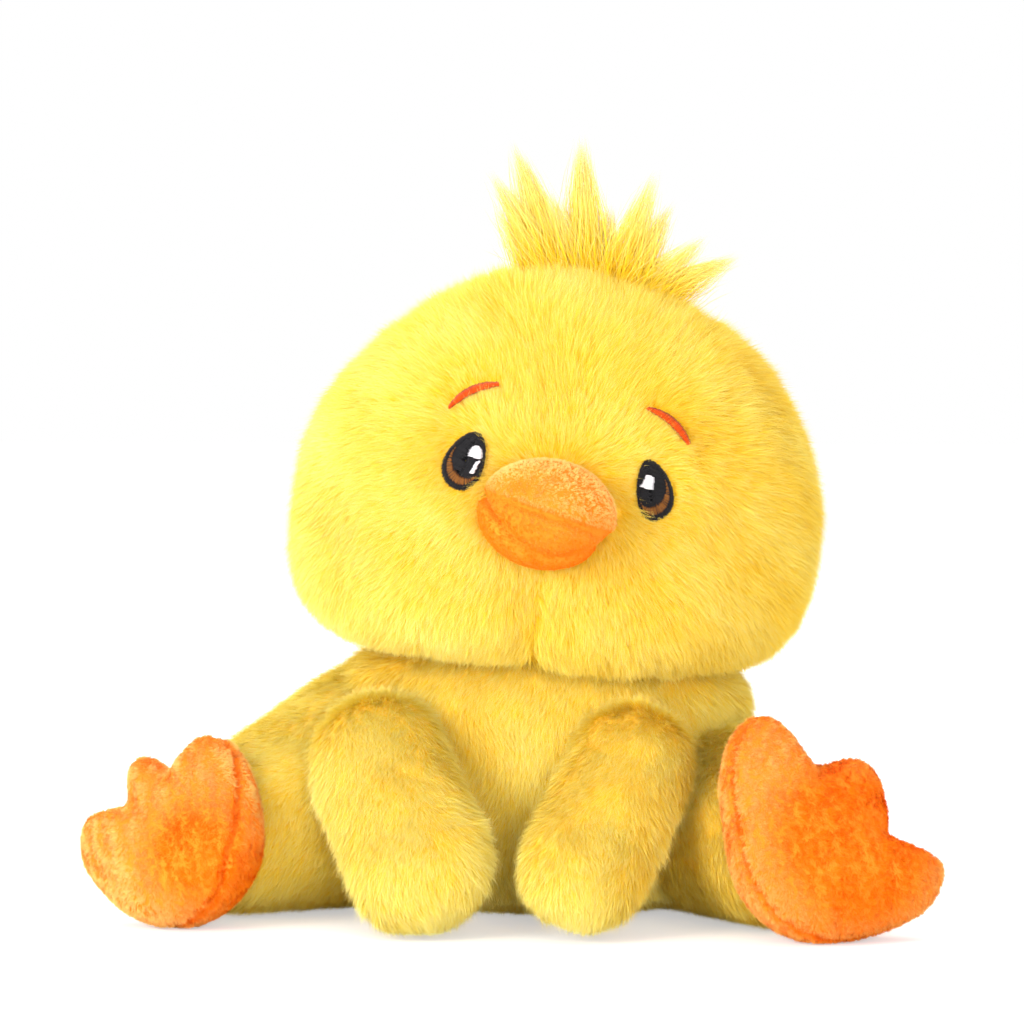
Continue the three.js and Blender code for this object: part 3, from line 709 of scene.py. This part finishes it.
SHORT_PILE = dict(
    tufts=2.2, hairs=11, spread=0.65, length=2.3, lean=66, gather=(0.4, 0.9), swirl=0.9, wave=5,
    stray=0.45, frizz=0.06, roll=20, width=0.17, patches=0.02, mottle=0.035,
)
orange_backing = backing("short_pile_backing", (1.0, 0.22, 0.01, 1), (1.0, 0.28, 0.02, 1), 1400)
# The fibre is painted deeper orange at its root and paler at its tip: the deeper roots are partly painted
# shade, down in the pile.
orange_pile = pile(
    "orange_short_pile",
    [(0, (1.0, 0.45, 0.03)), (0.4, (1.0, 0.62, 0.11)), (0.8, (1.0, 0.8, 0.27)), (1, (1.0, 0.88, 0.4))],
    [(0, (1.0, 0.235, 0.006)), (0.4, (1.0, 0.32, 0.02)), (1, (1.0, 1.0, 1.0))],
)
PILE_DEPTH = 1.8
SEAM_FOLD = 3.3  # how far the feet's seams draw in
SEAM_RUN = {  # each seam's slant, its place, and how far it runs back under the heel
    "right": (0.17, 1.3, 0.35),
    "left": (-0.07, 1.2, 0.08),
}
SOLE_PAINTED_LIGHT = {  # each sole's painted light and shade: the middle of its deep patch, its reach, its fade and how much paler the rest is painted
    "right": ((16.0, -6.0), 9, 17, 0.48),
    "left": ((8.0, 0.0), 20, 14, 0.34),
}


def draw_in(skin, how_far, middle):
    """Draws a stuffed skin in towards its middle, as a seam or a fold does, in millimetres."""
    points = corners(skin.data) / MM
    points += how_far(points)[:, None] * unit(middle - points)
    skin.data.vertices.foreach_set("co", (points * MM).astype(np.float32).ravel())
    skin.data.update()


for side, seed in (("right", 41), ("left", 51)):
    ankle = LEGS[side][1]
    axes = foot_axes(*FOOT_AIM[side])
    coarse, _ = foot_pad(side, 0, 36, 7)
    lowest = ((coarse + (0, -FOOT_REACH, 0)) @ axes + ankle)[:, 2].min()
    foot_place = ankle + (0, 0, -FOOT_SUNK - lowest)
    foot_points, foot_faces = foot_pad(side, -0.6, crease=0.2)
    foot_points = (foot_points + (0, -FOOT_REACH, 0)) @ axes + foot_place
    foot_points[:, 2] = foot_points[:, 2].clip(0.8)
    foot_middle = foot_place + (0, -FOOT_REACH, 0) @ axes

    def in_foot(points, axes=axes, place=foot_place):
        """Points in the foot's own frame, from the middle of its pad."""
        return (points - place) @ axes.T + (0, FOOT_REACH, 0)

    def behind_seam(points, run=SEAM_RUN[side]):
        """How far points lie behind the seam, which runs back under the heel."""
        x, y, z = in_foot(points).T
        slant, start, under = run
        return y + slant * x + start - under * (-z - 5).clip(0, 22)

    def foot_held(points):
        """The foot is sewn along the seam between its sole and its top."""
        return np.where(np.abs(behind_seam(points)) < 1.8, 1.0, 0) + (points[:, 2] < 2.5)

    foot_skin = stuffed(f"{side}_foot_backing", foot_points, foot_faces, foot_held, swell=2.5, weave=1.8)
    draw_in(foot_skin, lambda p: SEAM_FOLD * fade(behind_seam(p), 1.0), foot_middle)
    foot_skin.data.materials.append(orange_backing)
    sew_in(foot_skin, f"{side}_foot", "orange_short_pile", 0.85, f"{side}_foot_stuffing")

    def foot_comb(points, out):
        """The nap runs down the pad and swirls."""
        return np.array((0.25, 0, -1.0)) + 0.2 * out

    def foot_trim(points, out, ankle=ankle):
        """No pile inside the ankle, and short pile along the seam."""
        buried = np.linalg.norm(points - ankle, axis=1) < 20
        return np.where(buried, 0, 0.2 + 0.8 * (np.abs(behind_seam(points)) / 1.6).clip(0, 1))

    def foot_painted_light(points, deep=SOLE_PAINTED_LIGHT[side]):
        """Painted light and shade on the pad: deep orange low on the sole's middle, paler round it, and
        darker along the seam.
        """
        x, _, z = in_foot(points).T
        spot, reach, span, lift = deep
        away = (np.hypot(x - spot[0], z - spot[1]) - reach) / span
        return lift * away.clip(0, 1) - 0.2 - 0.7 * fade(behind_seam(points), 1.1)

    foot_pile = tufted(
        foot_skin, seed, SHORT_PILE, foot_comb, foot_trim,
        [
            (f"{side}_foot_sole_pile", lambda p: behind_seam(p) < 0),
            (f"{side}_foot_top_pile", lambda p: behind_seam(p) >= 0),
        ],
        orange_pile, ground=0.1, painted_light=foot_painted_light,
    )
    sew_on(foot_pile, f"{side}_foot")

# Arms: flattened wings of plush, a front and a back panel, sewn on at the shoulder.
# They hang forwards and stand on the ground.
ARM_HALF_WIDTH, ARM_HALF_DEPTH = 25.0, 20.0  # the solids' own
for side, sign, seed, shoulder_x, shoulder_radius in (
    ("right", -1, 61, -45.5, 25.5),
    ("left", 1, 71, 38.5, 23.0),
):
    shoulder = np.array((shoulder_x, -50.0, 54.0))
    hand = np.array((sign * 26.8, -77.0, 24.0))
    down_arm = unit(hand - shoulder)
    across_arm = unit(np.cross((0, 1, 0), down_arm))
    arm_axes = np.array((across_arm, np.cross(down_arm, across_arm), down_arm))
    arm_points, arm_faces = limb(
        shoulder_radius, shoulder_radius + 0.5, np.linalg.norm(hand - shoulder), -SKIN_DEPTH, blunt=0.62
    )
    arm_points[:, 1] *= (ARM_HALF_DEPTH - SKIN_DEPTH) / (ARM_HALF_WIDTH - SKIN_DEPTH)
    arm_points = arm_points @ arm_axes + shoulder
    arm_points[:, 2] = arm_points[:, 2].clip(REST_HEIGHT)

    def arm_held(points, axes=arm_axes, start=shoulder):
        """The arm is sewn round its edge, between its front and its back."""
        return np.where(np.abs(((points - start) @ axes.T)[:, 1]) < 2.5, 0.7, 0) + (points[:, 2] < 6)

    arm_skin = stuffed(f"{side}_arm_backing", arm_points, arm_faces, arm_held, swell=2.5)
    arm_skin.data.materials.append(plush_backing)
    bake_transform(arm_skin)
    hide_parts(f"{side}_arm_stuffing")

    def arm_comb(points, out, way=down_arm):
        """Down the arm, forwards from the shoulder and in under the hand."""
        back = np.interp(points[:, 2], (40, 64), (0.4, -0.6))
        return way + np.stack((0 * back, back, 0 * back - 0.9), axis=1)

    def arm_trim(points, out):
        """No pile where the arm is pressed on the torso."""
        return seated_trim(out, in_torso(points, 9), under=0.6)

    def arm_front(points, axes=arm_axes, start=shoulder):
        return ((points - start) @ axes.T)[:, 1] < 0

    # Painted light: the arm's pile is painted paler, against the shade that the head casts, and paler still
    # towards the chick's right, on the key lamp's side.
    arm_pile = tufted(
        arm_skin, seed, PLUSH, arm_comb, arm_trim,
        [(f"{side}_arm_front_plush", arm_front), (f"{side}_arm_back_plush", lambda p: p[:, 2] > -1)],
        yellow_plush, painted_light=lambda p: 0.18 - 0.003 * p[:, 0],
    )
    for name, piece in arm_pile.items():
        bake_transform(piece)
        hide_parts(name.replace("plush", "panel"))

# Head: a wide dome over full cheeks, two face panels and two backs, stuffed round and firm.
# Its middle seam draws in under the beak, which parts the cheeks, and the pile lies away from the beak.
BEAK_MIDDLE = 55.8
EYE_X, EYE_LEAN = 29.6, math.radians(15)
EYE_Z = {-1: 67.8, 1: 66.6}
EYE_HALF = (6.9, 9.7)
EYE_INNER = {-1: 0.86, 1: 0.66}  # the pile hides an eye's inner edge, so that half is narrower
BROW_X, BROW_Z, BROW_SLOPE = {-1: 30.5, 1: 32.2}, {-1: 88.5, 1: 87.6}, math.radians(33)
BROW_HALF = (8.7, 1.5)


def egg(x, z, sign):
    """Below one inside an eye's outline, which leans to the middle and narrows upwards."""
    side, up = x - sign * EYE_X, z - EYE_Z[sign]
    across = side * math.cos(EYE_LEAN) + sign * up * math.sin(EYE_LEAN)
    rise = up * math.cos(EYE_LEAN) - sign * side * math.sin(EYE_LEAN)
    half = EYE_HALF[0] * np.where(sign * across < 0, EYE_INNER[sign], 1)
    return np.hypot(across / (half * (1 - 0.22 * rise / EYE_HALF[1])), rise / EYE_HALF[1])


def brow_place(x, z, sign):
    """Places along and across a brow, in shares of its half length and its half width."""
    side, up = x - sign * BROW_X[sign], z - BROW_Z[sign]
    along = side * math.cos(BROW_SLOPE) - sign * up * math.sin(BROW_SLOPE)
    across = sign * side * math.sin(BROW_SLOPE) + up * math.cos(BROW_SLOPE)
    along = along / BROW_HALF[0]
    return along, (across - 1.8 * (1 - along**2)) / BROW_HALF[1]


def beak_share(x, z):
    """One on the beak's outline where it meets the face, and less inside it."""
    return np.hypot(x / 21.5, (z - BEAK_MIDDLE) / 18.5)


def face_marks(local, under_beak=0.0):
    """How far points of the face lie from the nearest eye, brow or beak, in rough millimetres."""
    x, y, z = local.T
    gap = (beak_share(x, z) - 1) * 19 + under_beak
    for sign in (-1, 1):
        gap = np.minimum(gap, (egg(x, z, sign) - 1) * 8)
        along, across = brow_place(x, z, sign)
        bar = np.maximum((np.abs(along) - 1) * BROW_HALF[0], (np.abs(across) - 1) * BROW_HALF[1])
        gap = np.minimum(gap, bar)
    return np.where(y < -20, gap, 99)


def chin(local):
    """One along the middle seam under the beak, where the cheeks part."""
    x, y, z = local.T
    low = ((44 - z) / 12).clip(0, 1)
    return np.where(y < 0, fade(x + 1.2, 6.5) * low, 0)


HEAD_PLUSH = dict(PLUSH, length=8.0, lean=63)
HEAD_SKIN = 4.2  # the head's backing lies deeper, under longer pile
HEAD_SEAM = 12  # how far back the head's side seams lie


def head_held(points):
    """The head is sewn along its seams, round the marks of its face and down its chin."""
    local = in_head(points)
    seam = np.minimum(np.abs(local[:, 0]), np.abs(local[:, 1] - HEAD_SEAM))
    return np.where(seam < 2.5, 0.6, 0) + (face_marks(local) < 2.5) + (chin(local) > 0.3)


head_points, head_faces = barrel(HEAD_SIZE, -HEAD_SKIN, 96, 60)
head_points += (0, 0, CHEEK_LINE)
head_points[:, 1] += 9.0 * chin(head_points)
HEAD_PUSHES = (  # places where the stuffing bulges the head, or leaves it slack, and how far
    ((-62, -20, 12), 4.5),
    ((64, -20, 10), -3.0),
    ((-30, 0, 132), 2.5),
    ((58, 0, 112), 3.0),
)
for place, push in HEAD_PUSHES:
    near = np.exp(-(((head_points - place) / (26, 60, 22)) ** 2).sum(1))
    head_points += push * near[:, None] * unit(head_points - (0, 0, CHEEK_LINE))
head_points = head_points @ HEAD_AXES + HEAD_PLACE
head_skin = stuffed("head_backing", head_points, head_faces, head_held, swell=2.0, weave=4.0)
head_skin.data.materials.append(plush_backing)
sew_in(head_skin, "head", "yellow_plush", 0.85, "head_stuffing")


def head_comb(points, out):
    """Away from the beak on the face, and downwards everywhere else."""
    local = in_head(points)
    away = unit(local - (0, -71, BEAK_MIDDLE)) @ HEAD_AXES
    brow = fade(local[:, 0], 48) * ((local[:, 2] - 56) / 24).clip(0, 1) * (local[:, 1] < 5)
    parted = 0.9 * np.sign(local[:, 0] + 1.2) * chin(local)
    return away + (0.95 - 0.8 * brow)[:, None] * np.array((0, 0, -1.0)) + parted[:, None] * HEAD_AXES[0]


UNDER_BEAK, UNDER_MARKS = 5.0, 1.3  # how far the pile starts under the beak's edge, and under the stitching
OVER_MARKS = 0.7  # how far its tips reach over the stitching
BEAK_AWAY = 99.0  # leaves the beak out of the marks


def head_trim(points, out):
    """Full pile, clipped short round the eyes, the brows and the beak, and none under them."""
    local = in_head(points)
    gap = face_marks(local, UNDER_BEAK)
    share = 0.6 + 0.4 * (gap / 5).clip(0, 1)
    lie = head_comb(points, out)
    lie = unit(lie - (lie * out).sum(1, keepdims=True) * out) @ HEAD_AXES.T
    clear, clipped = np.ones(len(points), bool), np.full(len(points), 0.16)
    for length in (0.2, 0.35, 0.5, 0.65, 0.8, 1.0):
        clear &= face_marks(local + HEAD_PLUSH["length"] * length * lie, BEAK_AWAY) > -OVER_MARKS
        clipped = np.where(clear, length, clipped)
    share = np.minimum(share, clipped)
    leaving = face_marks(local + 2 * lie, BEAK_AWAY) > face_marks(local, BEAK_AWAY) + 0.8
    edge = np.where(leaving & (gap > -UNDER_MARKS), -UNDER_MARKS, 0.2)
    share = np.where(gap < edge, 0, share * (1 + 0.25 * ((local[:, 2] - 100) / 25).clip(0, 1)))
    return np.where(in_torso(points, 10), 0, share)


# Painted light and shade: the head's pile is painted darker than the body's, where the lamps light it more,
# and paler towards the chick's right, on the key lamp's side.
head_pile = tufted(
    head_skin, 81, HEAD_PLUSH, head_comb, head_trim,
    [
        ("head_face_right_plush", lambda p: (in_head(p)[:, 1] < HEAD_SEAM) & (in_head(p)[:, 0] < 0)),
        ("head_face_left_plush", lambda p: in_head(p)[:, 1] < HEAD_SEAM),
        ("head_back_right_plush", lambda p: in_head(p)[:, 0] < 0),
        ("head_back_left_plush", lambda p: in_head(p)[:, 0] >= 0),
    ],
    yellow_plush,
    painted_light=lambda p: -0.26 - 0.0045 * p[:, 0].clip(-70, 15),
)
sew_on(head_pile, "head")

# Beak: a blunt stuffed cone of the same short orange pile, an upper and a lower panel.
# The seam between them is the mouth, and its root is sewn into the face.
BEAK_SIZE = dict(width=24.6, depth=20.0, above=25.0, below=9.0, crown=2.15, base=2.6)
beak_points, beak_faces = barrel(BEAK_SIZE, -PILE_DEPTH - 0.8, 72, 56)
beak_points = beak_points[:, [0, 2, 1]] * (1, -1, 1) + (-1.8, -71, BEAK_MIDDLE - 0.9)
beak_points = beak_points @ HEAD_AXES + HEAD_PLACE
LIP_FOLD, LOWER_FOLD, UNDER_LIP = 2.8, 3.6, 1.2  # how far the beak draws in along its folds


def over_mouth(points):
    """How far points lie above the mouth seam, which droops to the chick's left."""
    x, _, z = in_head(points).T
    return z - (BEAK_MIDDLE - 0.6 - 0.2 * x)


def over_lip(points):
    """How far points lie above the fold that makes the lower lip."""
    x, _, z = in_head(points).T
    return z - (BEAK_MIDDLE - 14.6 - 0.12 * x + 0.026 * x**2)


def mouth_gap(points):
    """How far points lie from the nearer of the mouth seam and the lower lip's fold."""
    return np.minimum(np.abs(over_mouth(points)), np.abs(over_lip(points)) + 0.4)


def beak_held(points):
    """The beak is sewn along its folds and round its root."""
    return np.where(mouth_gap(points) < 1.4, 1.0, 0) + (in_head(points)[:, 1] > -70)


def beak_folds(points):
    """How far the mouth seam, the lower lip's fold and the cheek between them draw in."""
    mouth, lip = over_mouth(points), over_lip(points)
    middle = np.exp(-((in_head(points)[:, 0] / 19) ** 4))
    sunk = UNDER_LIP * (0.5 - mouth / 3).clip(0, 1) * (lip / 2).clip(0, 1)
    return middle * (sunk + LIP_FOLD * fade(mouth, 2.0)) + LOWER_FOLD * fade(lip, 1.7)


beak_skin = stuffed("beak_backing", beak_points, beak_faces, beak_held, swell=1.8, weave=1.4)
draw_in(beak_skin, beak_folds, np.array((0.0, -58.0, BEAK_MIDDLE)) @ HEAD_AXES + HEAD_PLACE)
beak_skin.data.materials.append(orange_backing)
sew_in(beak_skin, "head", "orange_short_pile", 0.85, "beak_stuffing")
# Painted light and shade: the beak's pile is painted paler towards its top and darker along the mouth seam
# and the lower lip's fold.
beak_pile = tufted(
    beak_skin, 91, dict(SHORT_PILE, swirl=0.4, length=2.0, lean=69),
    lambda p, out: HEAD_AXES[1] * 0.6 + np.array((0.3, 0, -0.6)),
    lambda p, out: np.where(in_head(p)[:, 1] > -60, 0, 0.35 + 0.35 * (mouth_gap(p) / 2.2).clip(0, 1)),
    [
        ("beak_upper_pile", lambda p: over_mouth(p) >= 0),
        ("beak_lower_pile", lambda p: in_head(p)[:, 2] > -99),
    ],
    orange_pile,
    painted_light=lambda p: 0.03 + 0.035 * over_mouth(p).clip(-5, 9) - 0.3 * fade(mouth_gap(p), 1.5),
)
sew_on(beak_pile, "head")

# Eyes and brows: embroidered on the face in satin stitch, before the panels were stuffed.
# Each eye is black thread with a rim, a brown arc low on its outer side and white glints.
# The brows are red thread, in short stitches across.
THREAD_DEPTH = 2.9  # the stitching lies this far under the pile's surface, in millimetres


def on_face(x, z, lift=0.0):
    """A point on the face, over its place seen from the front, in the head's own frame."""
    rise = z - CHEEK_LINE
    low = rise < 0
    grow = lift - THREAD_DEPTH
    end = np.where(low, HEAD_SIZE["below"], HEAD_SIZE["above"]) + grow
    power = np.where(low, HEAD_SIZE["base"], HEAD_SIZE["crown"])
    out = (1 - (np.abs(rise) / end) ** power) ** (1 / power)
    deep = np.sqrt(out**2 - (x / (HEAD_SIZE["width"] + grow)) ** 2)
    return np.stack((x, -(HEAD_SIZE["depth"] + grow) * deep, z), axis=-1)


def embroidered(name, stands_for, rows, wide, high, thread_name, seed, ground_outline=None):
    """Satin stitches: each row holds places (x, z) across the face and how far they are padded up.
    A stitch is a fine thread that rises from the cloth at both of its ends."""
    chance = np.random.default_rng(seed)
    points, faces, charts = [], [], []
    section = 6
    turn = np.linspace(0, 2 * np.pi, section, endpoint=False)
    for row in rows:
        row = np.asarray(row, float)
        x, z, lift = row.T
        line = on_face(x, z, lift)
        out = unit(on_face(x, z, lift + 1) - line)
        run = unit(np.gradient(line, axis=0))
        side = unit(np.cross(run, out))
        full = np.ones(len(row))
        full[[0, -1]] = 0.45
        line = line - np.where(full < 1, 0.5 * high, 0)[:, None] * out
        shade = float(chance.uniform(0.1, 0.9))
        first = len(points)
        for k in range(len(row)):
            ring = line[k] + full[k] * (
                wide / 2 * np.cos(turn)[:, None] * side[k] + high * np.sin(turn)[:, None] * out[k]
            )
            points.extend(ring)
            charts += [(k / (len(row) - 1), shade)] * section
        for k in range(len(row) - 1):
            for a in range(section):
                b = (a + 1) % section
                base = first + k * section
                faces.append((base + b, base + a, base + section + a, base + section + b))
        faces.append(tuple(first + a for a in range(section)))
        faces.append(tuple(first + (len(row) - 1) * section + a for a in range(section))[::-1])
    if ground_outline is not None:
        middle = np.mean(ground_outline, axis=0)
        first, rings, around = len(points), 7, len(ground_outline)
        for r in range(rings):
            spot = middle + (ground_outline - middle) * max(r / (rings - 1), 0.02)
            points.extend(on_face(spot[:, 0], spot[:, 1], -0.1))
            charts += [(0.5, 0.2)] * around
        for r in range(rings - 1):
            for a in range(around):
                b = (a + 1) % around
                base = first + r * around
                faces.append((base + a, base + b, base + around + b, base + around + a))
    made = new_object(name, (np.array(points) @ HEAD_AXES + HEAD_PLACE) * MM, faces)
    layer = made.data.uv_layers.new(name="OFBake")
    corner = np.empty(len(made.data.loops), np.int32)
    made.data.loops.foreach_get("vertex_index", corner)
    layer.data.foreach_set("uv", np.array(charts, np.float32)[corner].ravel())
    made.data.shade_smooth()
    made.data.materials.append(THREADS[thread_name])
    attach(made, "head")
    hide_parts(stands_for)


def thread(name, ends, middle, dim):
    """Embroidery thread: glossy, with painted shade at both ends of each stitch, where it goes into the
    cloth.
    """
    return pile(
        name,
        [(0, ends), (0.25, middle), (0.75, middle), (1, ends)],
        [(0, (dim, dim, dim)), (1, (1, 1, 1))],
        roughness=0.42,
        sheen=0.1,
    )


# Each thread is painted darker at its ends, as shade where a stitch dips into the cloth.
THREADS = {
    name: thread(name, ends, middle, dim)
    for name, ends, middle, dim in (
        ("black_thread", (0.006, 0.006, 0.007), (0.016, 0.015, 0.017), 0.6),
        ("brown_thread", (0.08, 0.025, 0.005), (0.27, 0.1, 0.02), 0.5),
        ("white_thread", (0.75, 0.72, 0.76), (0.9, 0.87, 0.9), 0.85),
        ("red_orange_thread", (0.3, 0.006, 0.001), (0.86, 0.085, 0.004), 0.6),
    )
}


def eye_spot(sign, angle, share):
    """A place of an eye by the angle from its top and the share of the way to its outline."""
    rise = EYE_HALF[1] * share * np.cos(angle)
    half = EYE_HALF[0] * np.where(sign * np.sin(angle) < 0, EYE_INNER[sign], 1)
    across = half * share * np.sin(angle) * (1 - 0.22 * rise / EYE_HALF[1])
    x = sign * EYE_X + across * math.cos(EYE_LEAN) - sign * rise * math.sin(EYE_LEAN)
    z = EYE_Z[sign] + rise * math.cos(EYE_LEAN) + sign * across * math.sin(EYE_LEAN)
    return x, z


def dome(x, z, sign):
    """The eye is padded up a little towards its middle."""
    return 0.9 * np.sqrt((1 - egg(x, z, sign) ** 2).clip(0))


def scanned(outline, pitch, lift, chance):
    """Level rows of stitches that fill an outline."""
    x, z = outline.T
    rows = []
    for level in np.arange(z.min() + pitch / 2, z.max(), pitch):
        cut = []
        for k in range(len(x)):
            j = (k + 1) % len(x)
            if (z[k] < level) != (z[j] < level):
                cut.append(x[k] + (level - z[k]) / (z[j] - z[k]) * (x[j] - x[k]))
        if len(cut) >= 2 and max(cut) - min(cut) > 0.5:
            ends = np.array((min(cut), max(cut))) + chance.normal(0, 0.1, 2)
            along = np.linspace(*ends, 5)
            rows.append(np.stack((along, np.full(5, level), lift(along, np.full(5, level))), axis=1))
    return rows


GLINTS = {  # each glint's place on the face, and its outline round that place
    "right_eye_glint": (
        -26.9, 70.6,
        (
            (-2.6, -1.3), (-2.5, 0.2), (-1.8, 1.6), (-0.4, 2.5), (1.2, 2.1),
            (2.2, 0.6), (2.4, -1.0), (1.5, -1.6), (-1.0, -1.4),
        ),
    ),
    "right_eye_small_glint": (
        -27.0, 66.0,
        ((1.9, 2.4), (0.5, 2.1), (-0.4, 0.2), (-1.3, -1.9), (0.4, -1.9), (1.0, -0.1)),
    ),
    "left_eye_glint": (
        28.3, 69.2,
        ((-2.3, -1.8), (-1.3, 0.6), (-1.0, 1.9), (0.4, 2.4), (1.9, 1.5), (2.2, -2.1), (0.4, -2.2)),
    ),
}
stitching = np.random.default_rng(101)
for side, sign in (("right", -1), ("left", 1)):
    rows = []
    for angle in np.arange(0, 2 * np.pi, 0.42 / 8.6):
        inner = 1 - stitching.uniform(0.17, 0.26)
        share = np.linspace(inner, 1 + stitching.normal(0.01, 0.012), 4)
        x, z = eye_spot(sign, angle + 0.05 * (share - inner), share)
        rows.append(np.stack((x, z, dome(x, z, sign) + 0.35), axis=1))
    for rise in np.arange(-0.86, 0.88, 0.042):
        reach = math.sqrt(max(0.0, 0.86**2 - rise**2))
        if reach < 0.12:
            continue
        for start, stop in ((-reach, stitching.uniform(-0.3, 0.3) * reach), (0, reach)):
            across = np.linspace(start, stop + 0.03, 7)
            share = np.hypot(across, rise)
            x, z = eye_spot(sign, np.arctan2(across, rise), share)
            rows.append(np.stack((x, z, dome(x, z, sign) + 0.1), axis=1))
    edge = np.stack(eye_spot(sign, np.linspace(0, 2 * np.pi, 48, endpoint=False), 0.99), axis=1)
    eye = f"{side}_eye"
    embroidered(f"{eye}_black_stitches", f"{eye}_black", rows, 0.5, 0.24, "black_thread", 111, edge)

    rows = []
    for angle in np.arange(0, 2 * np.pi, 0.4 / 7):
        share = np.linspace(0.3, 0.84, 60)
        x, z = eye_spot(sign, angle, share)
        outside = egg(x + sign * 1.7, z - 2.7, sign) > 0.84
        if outside.sum() < 6:
            continue
        share = np.linspace(share[outside].min() + stitching.normal(0, 0.012), 0.84, 5)
        x, z = eye_spot(sign, angle + stitching.normal(0, 0.02), share)
        rows.append(np.stack((x, z, dome(x, z, sign) + 0.38), axis=1))
    embroidered(f"{eye}_brown_stitches", f"{eye}_brown_arc", rows, 0.42, 0.2, "brown_thread", 121)

    rows = []
    for along in np.linspace(-0.99, 0.99, 42):
        half = BROW_HALF[1] * math.sqrt(1 - 0.8 * along**2) + stitching.normal(0, 0.07)
        across = np.linspace(-half, half, 6)
        length = along * BROW_HALF[0] + 0.25 * across / half
        over = across + 1.8 * (1 - along**2)
        x = sign * BROW_X[sign] + length * math.cos(BROW_SLOPE) + sign * over * math.sin(BROW_SLOPE)
        z = BROW_Z[sign] - sign * length * math.sin(BROW_SLOPE) + over * math.cos(BROW_SLOPE)
        rows.append(np.stack((x, z, 0.9 + 1.4 * np.sqrt((1 - (across / half) ** 2).clip(0))), axis=1))
    embroidered(f"{side}_brow_stitches", f"{side}_brow", rows, 0.52, 0.26, "red_orange_thread", 131)

for name, (x, z, outline) in GLINTS.items():
    sign = -1 if name.startswith("right") else 1
    shape = np.array(outline) + (x, z)
    rows = scanned(shape, 0.36, lambda a, b: dome(a, b, sign) + 0.5, stitching)
    embroidered(f"{name}_stitches", name, rows, 0.46, 0.22, "white_thread", 141)

# Crest: wisps of long straight pile, sewn into the crown seam so that they fan out to both sides.
# They are golden at their roots, partly their own colour and partly painted shade where the hair is
# bunched, and pale straw at their tips.
CREST_ROOTS = (4.0, 21.0, 6.5)  # middle, half width and half depth of the sewn root, in the head's frame
WISPS = (  # each wisp's tip across, up and back in the head's frame, and its share of the hair
    (-32.0, 173.0, 0.0, 1.3), (-9.5, 178.0, 2.0, 1.3), (-38.0, 162.5, -3.0, 0.8), (16.5, 169.5, -2.0, 1.0),
    (23.5, 160.5, 3.0, 0.8), (-35.0, 149.5, 2.0, 0.6), (36.0, 150.5, -2.0, 0.7), (48.0, 146.0, 1.0, 0.8),
    (3.0, 157.0, 4.0, 0.7), (-18.0, 159.0, -4.0, 0.8),
)
crest_pile = pile(
    "crest_pile",
    [(0, (1.0, 0.6, 0.006)), (0.3, (1.0, 0.7, 0.03)), (0.6, (1.0, 0.82, 0.17)), (1, (0.86, 0.78, 0.36))],
    [(0, (0.9, 0.84, 0.6)), (0.5, (1.0, 0.96, 0.85)), (1, (1.0, 1.0, 1.0))],
    roughness=0.6,
)
crest_chance = np.random.default_rng(151)
HAIRS, STEPS, FLUFF = 620, 4, 0.5  # in a wisp, along a hair, and the share of hair that is short
lines, sides = [], []
for tip_x, tip_z, tip_y, full in WISPS:
    hairs = int(HAIRS * full)
    lean = (tip_x - CREST_ROOTS[0]) / 40
    root_x = CREST_ROOTS[0] + CREST_ROOTS[1] * np.clip(0.75 * lean, -0.8, 0.8)
    root_x = root_x + crest_chance.normal(0, 4.4, hairs)
    root_y = crest_chance.normal(0, CREST_ROOTS[2] / 2, hairs)
    crown = HEAD_SIZE["above"] - HEAD_SKIN
    out = np.hypot(root_x / (HEAD_SIZE["width"] - HEAD_SKIN), root_y / (HEAD_SIZE["depth"] - HEAD_SKIN))
    root_z = CHEEK_LINE + crown * (1 - out ** HEAD_SIZE["crown"]) ** (1 / HEAD_SIZE["crown"])
    roots = np.stack((root_x, root_y, root_z), axis=1)
    fluff = crest_chance.random(hairs) < FLUFF
    share = np.where(fluff, crest_chance.uniform(0.25, 0.7, hairs), crest_chance.uniform(0.7, 1.0, hairs))
    tips = np.array((tip_x, tip_y, tip_z)) + crest_chance.normal(0, 0.9, (hairs, 3))
    tips = tips + 0.08 * (roots - roots.mean(0))
    tips = roots + share[:, None] * (tips - roots)
    tips += (1.05 - share[:, None]) * crest_chance.normal(0, 5.5, (hairs, 3))
    rise = np.linalg.norm(tips - roots, axis=1)[:, None]
    bend = roots + 0.5 * (tips - roots) + np.array((0, 0, 0.07)) * rise
    bend += crest_chance.normal(0, 1.6, (hairs, 3))
    t = np.linspace(0, 1, STEPS + 1)[None, :, None]
    line = (1 - t) ** 2 * roots[:, None] + 2 * t * (1 - t) * bend[:, None] + t**2 * tips[:, None]
    line[:, 1:-1] += crest_chance.normal(0, 0.35, (hairs, STEPS - 1, 3))
    lines.append(line)
    run = unit(tips - roots)
    flat = unit(np.cross(run, HEAD_AXES[1] + crest_chance.normal(0, 0.5, (hairs, 3))))
    sides.append(np.repeat(flat[:, None], STEPS, axis=1))
lines = np.concatenate(lines) @ HEAD_AXES + HEAD_PLACE
sides = np.concatenate(sides) @ HEAD_AXES
wide = 0.2 * crest_chance.uniform(0.7, 1.2, len(lines))
widths = wide[:, None] * np.linspace(1, 0.55, STEPS)[None, :]
shades = crest_chance.uniform(0.05, 0.95, len(lines))
crest = strands("head_crest_wisps", lines, sides, widths, shades, crest_pile)
sew_on({"head_crest": crest}, "head")
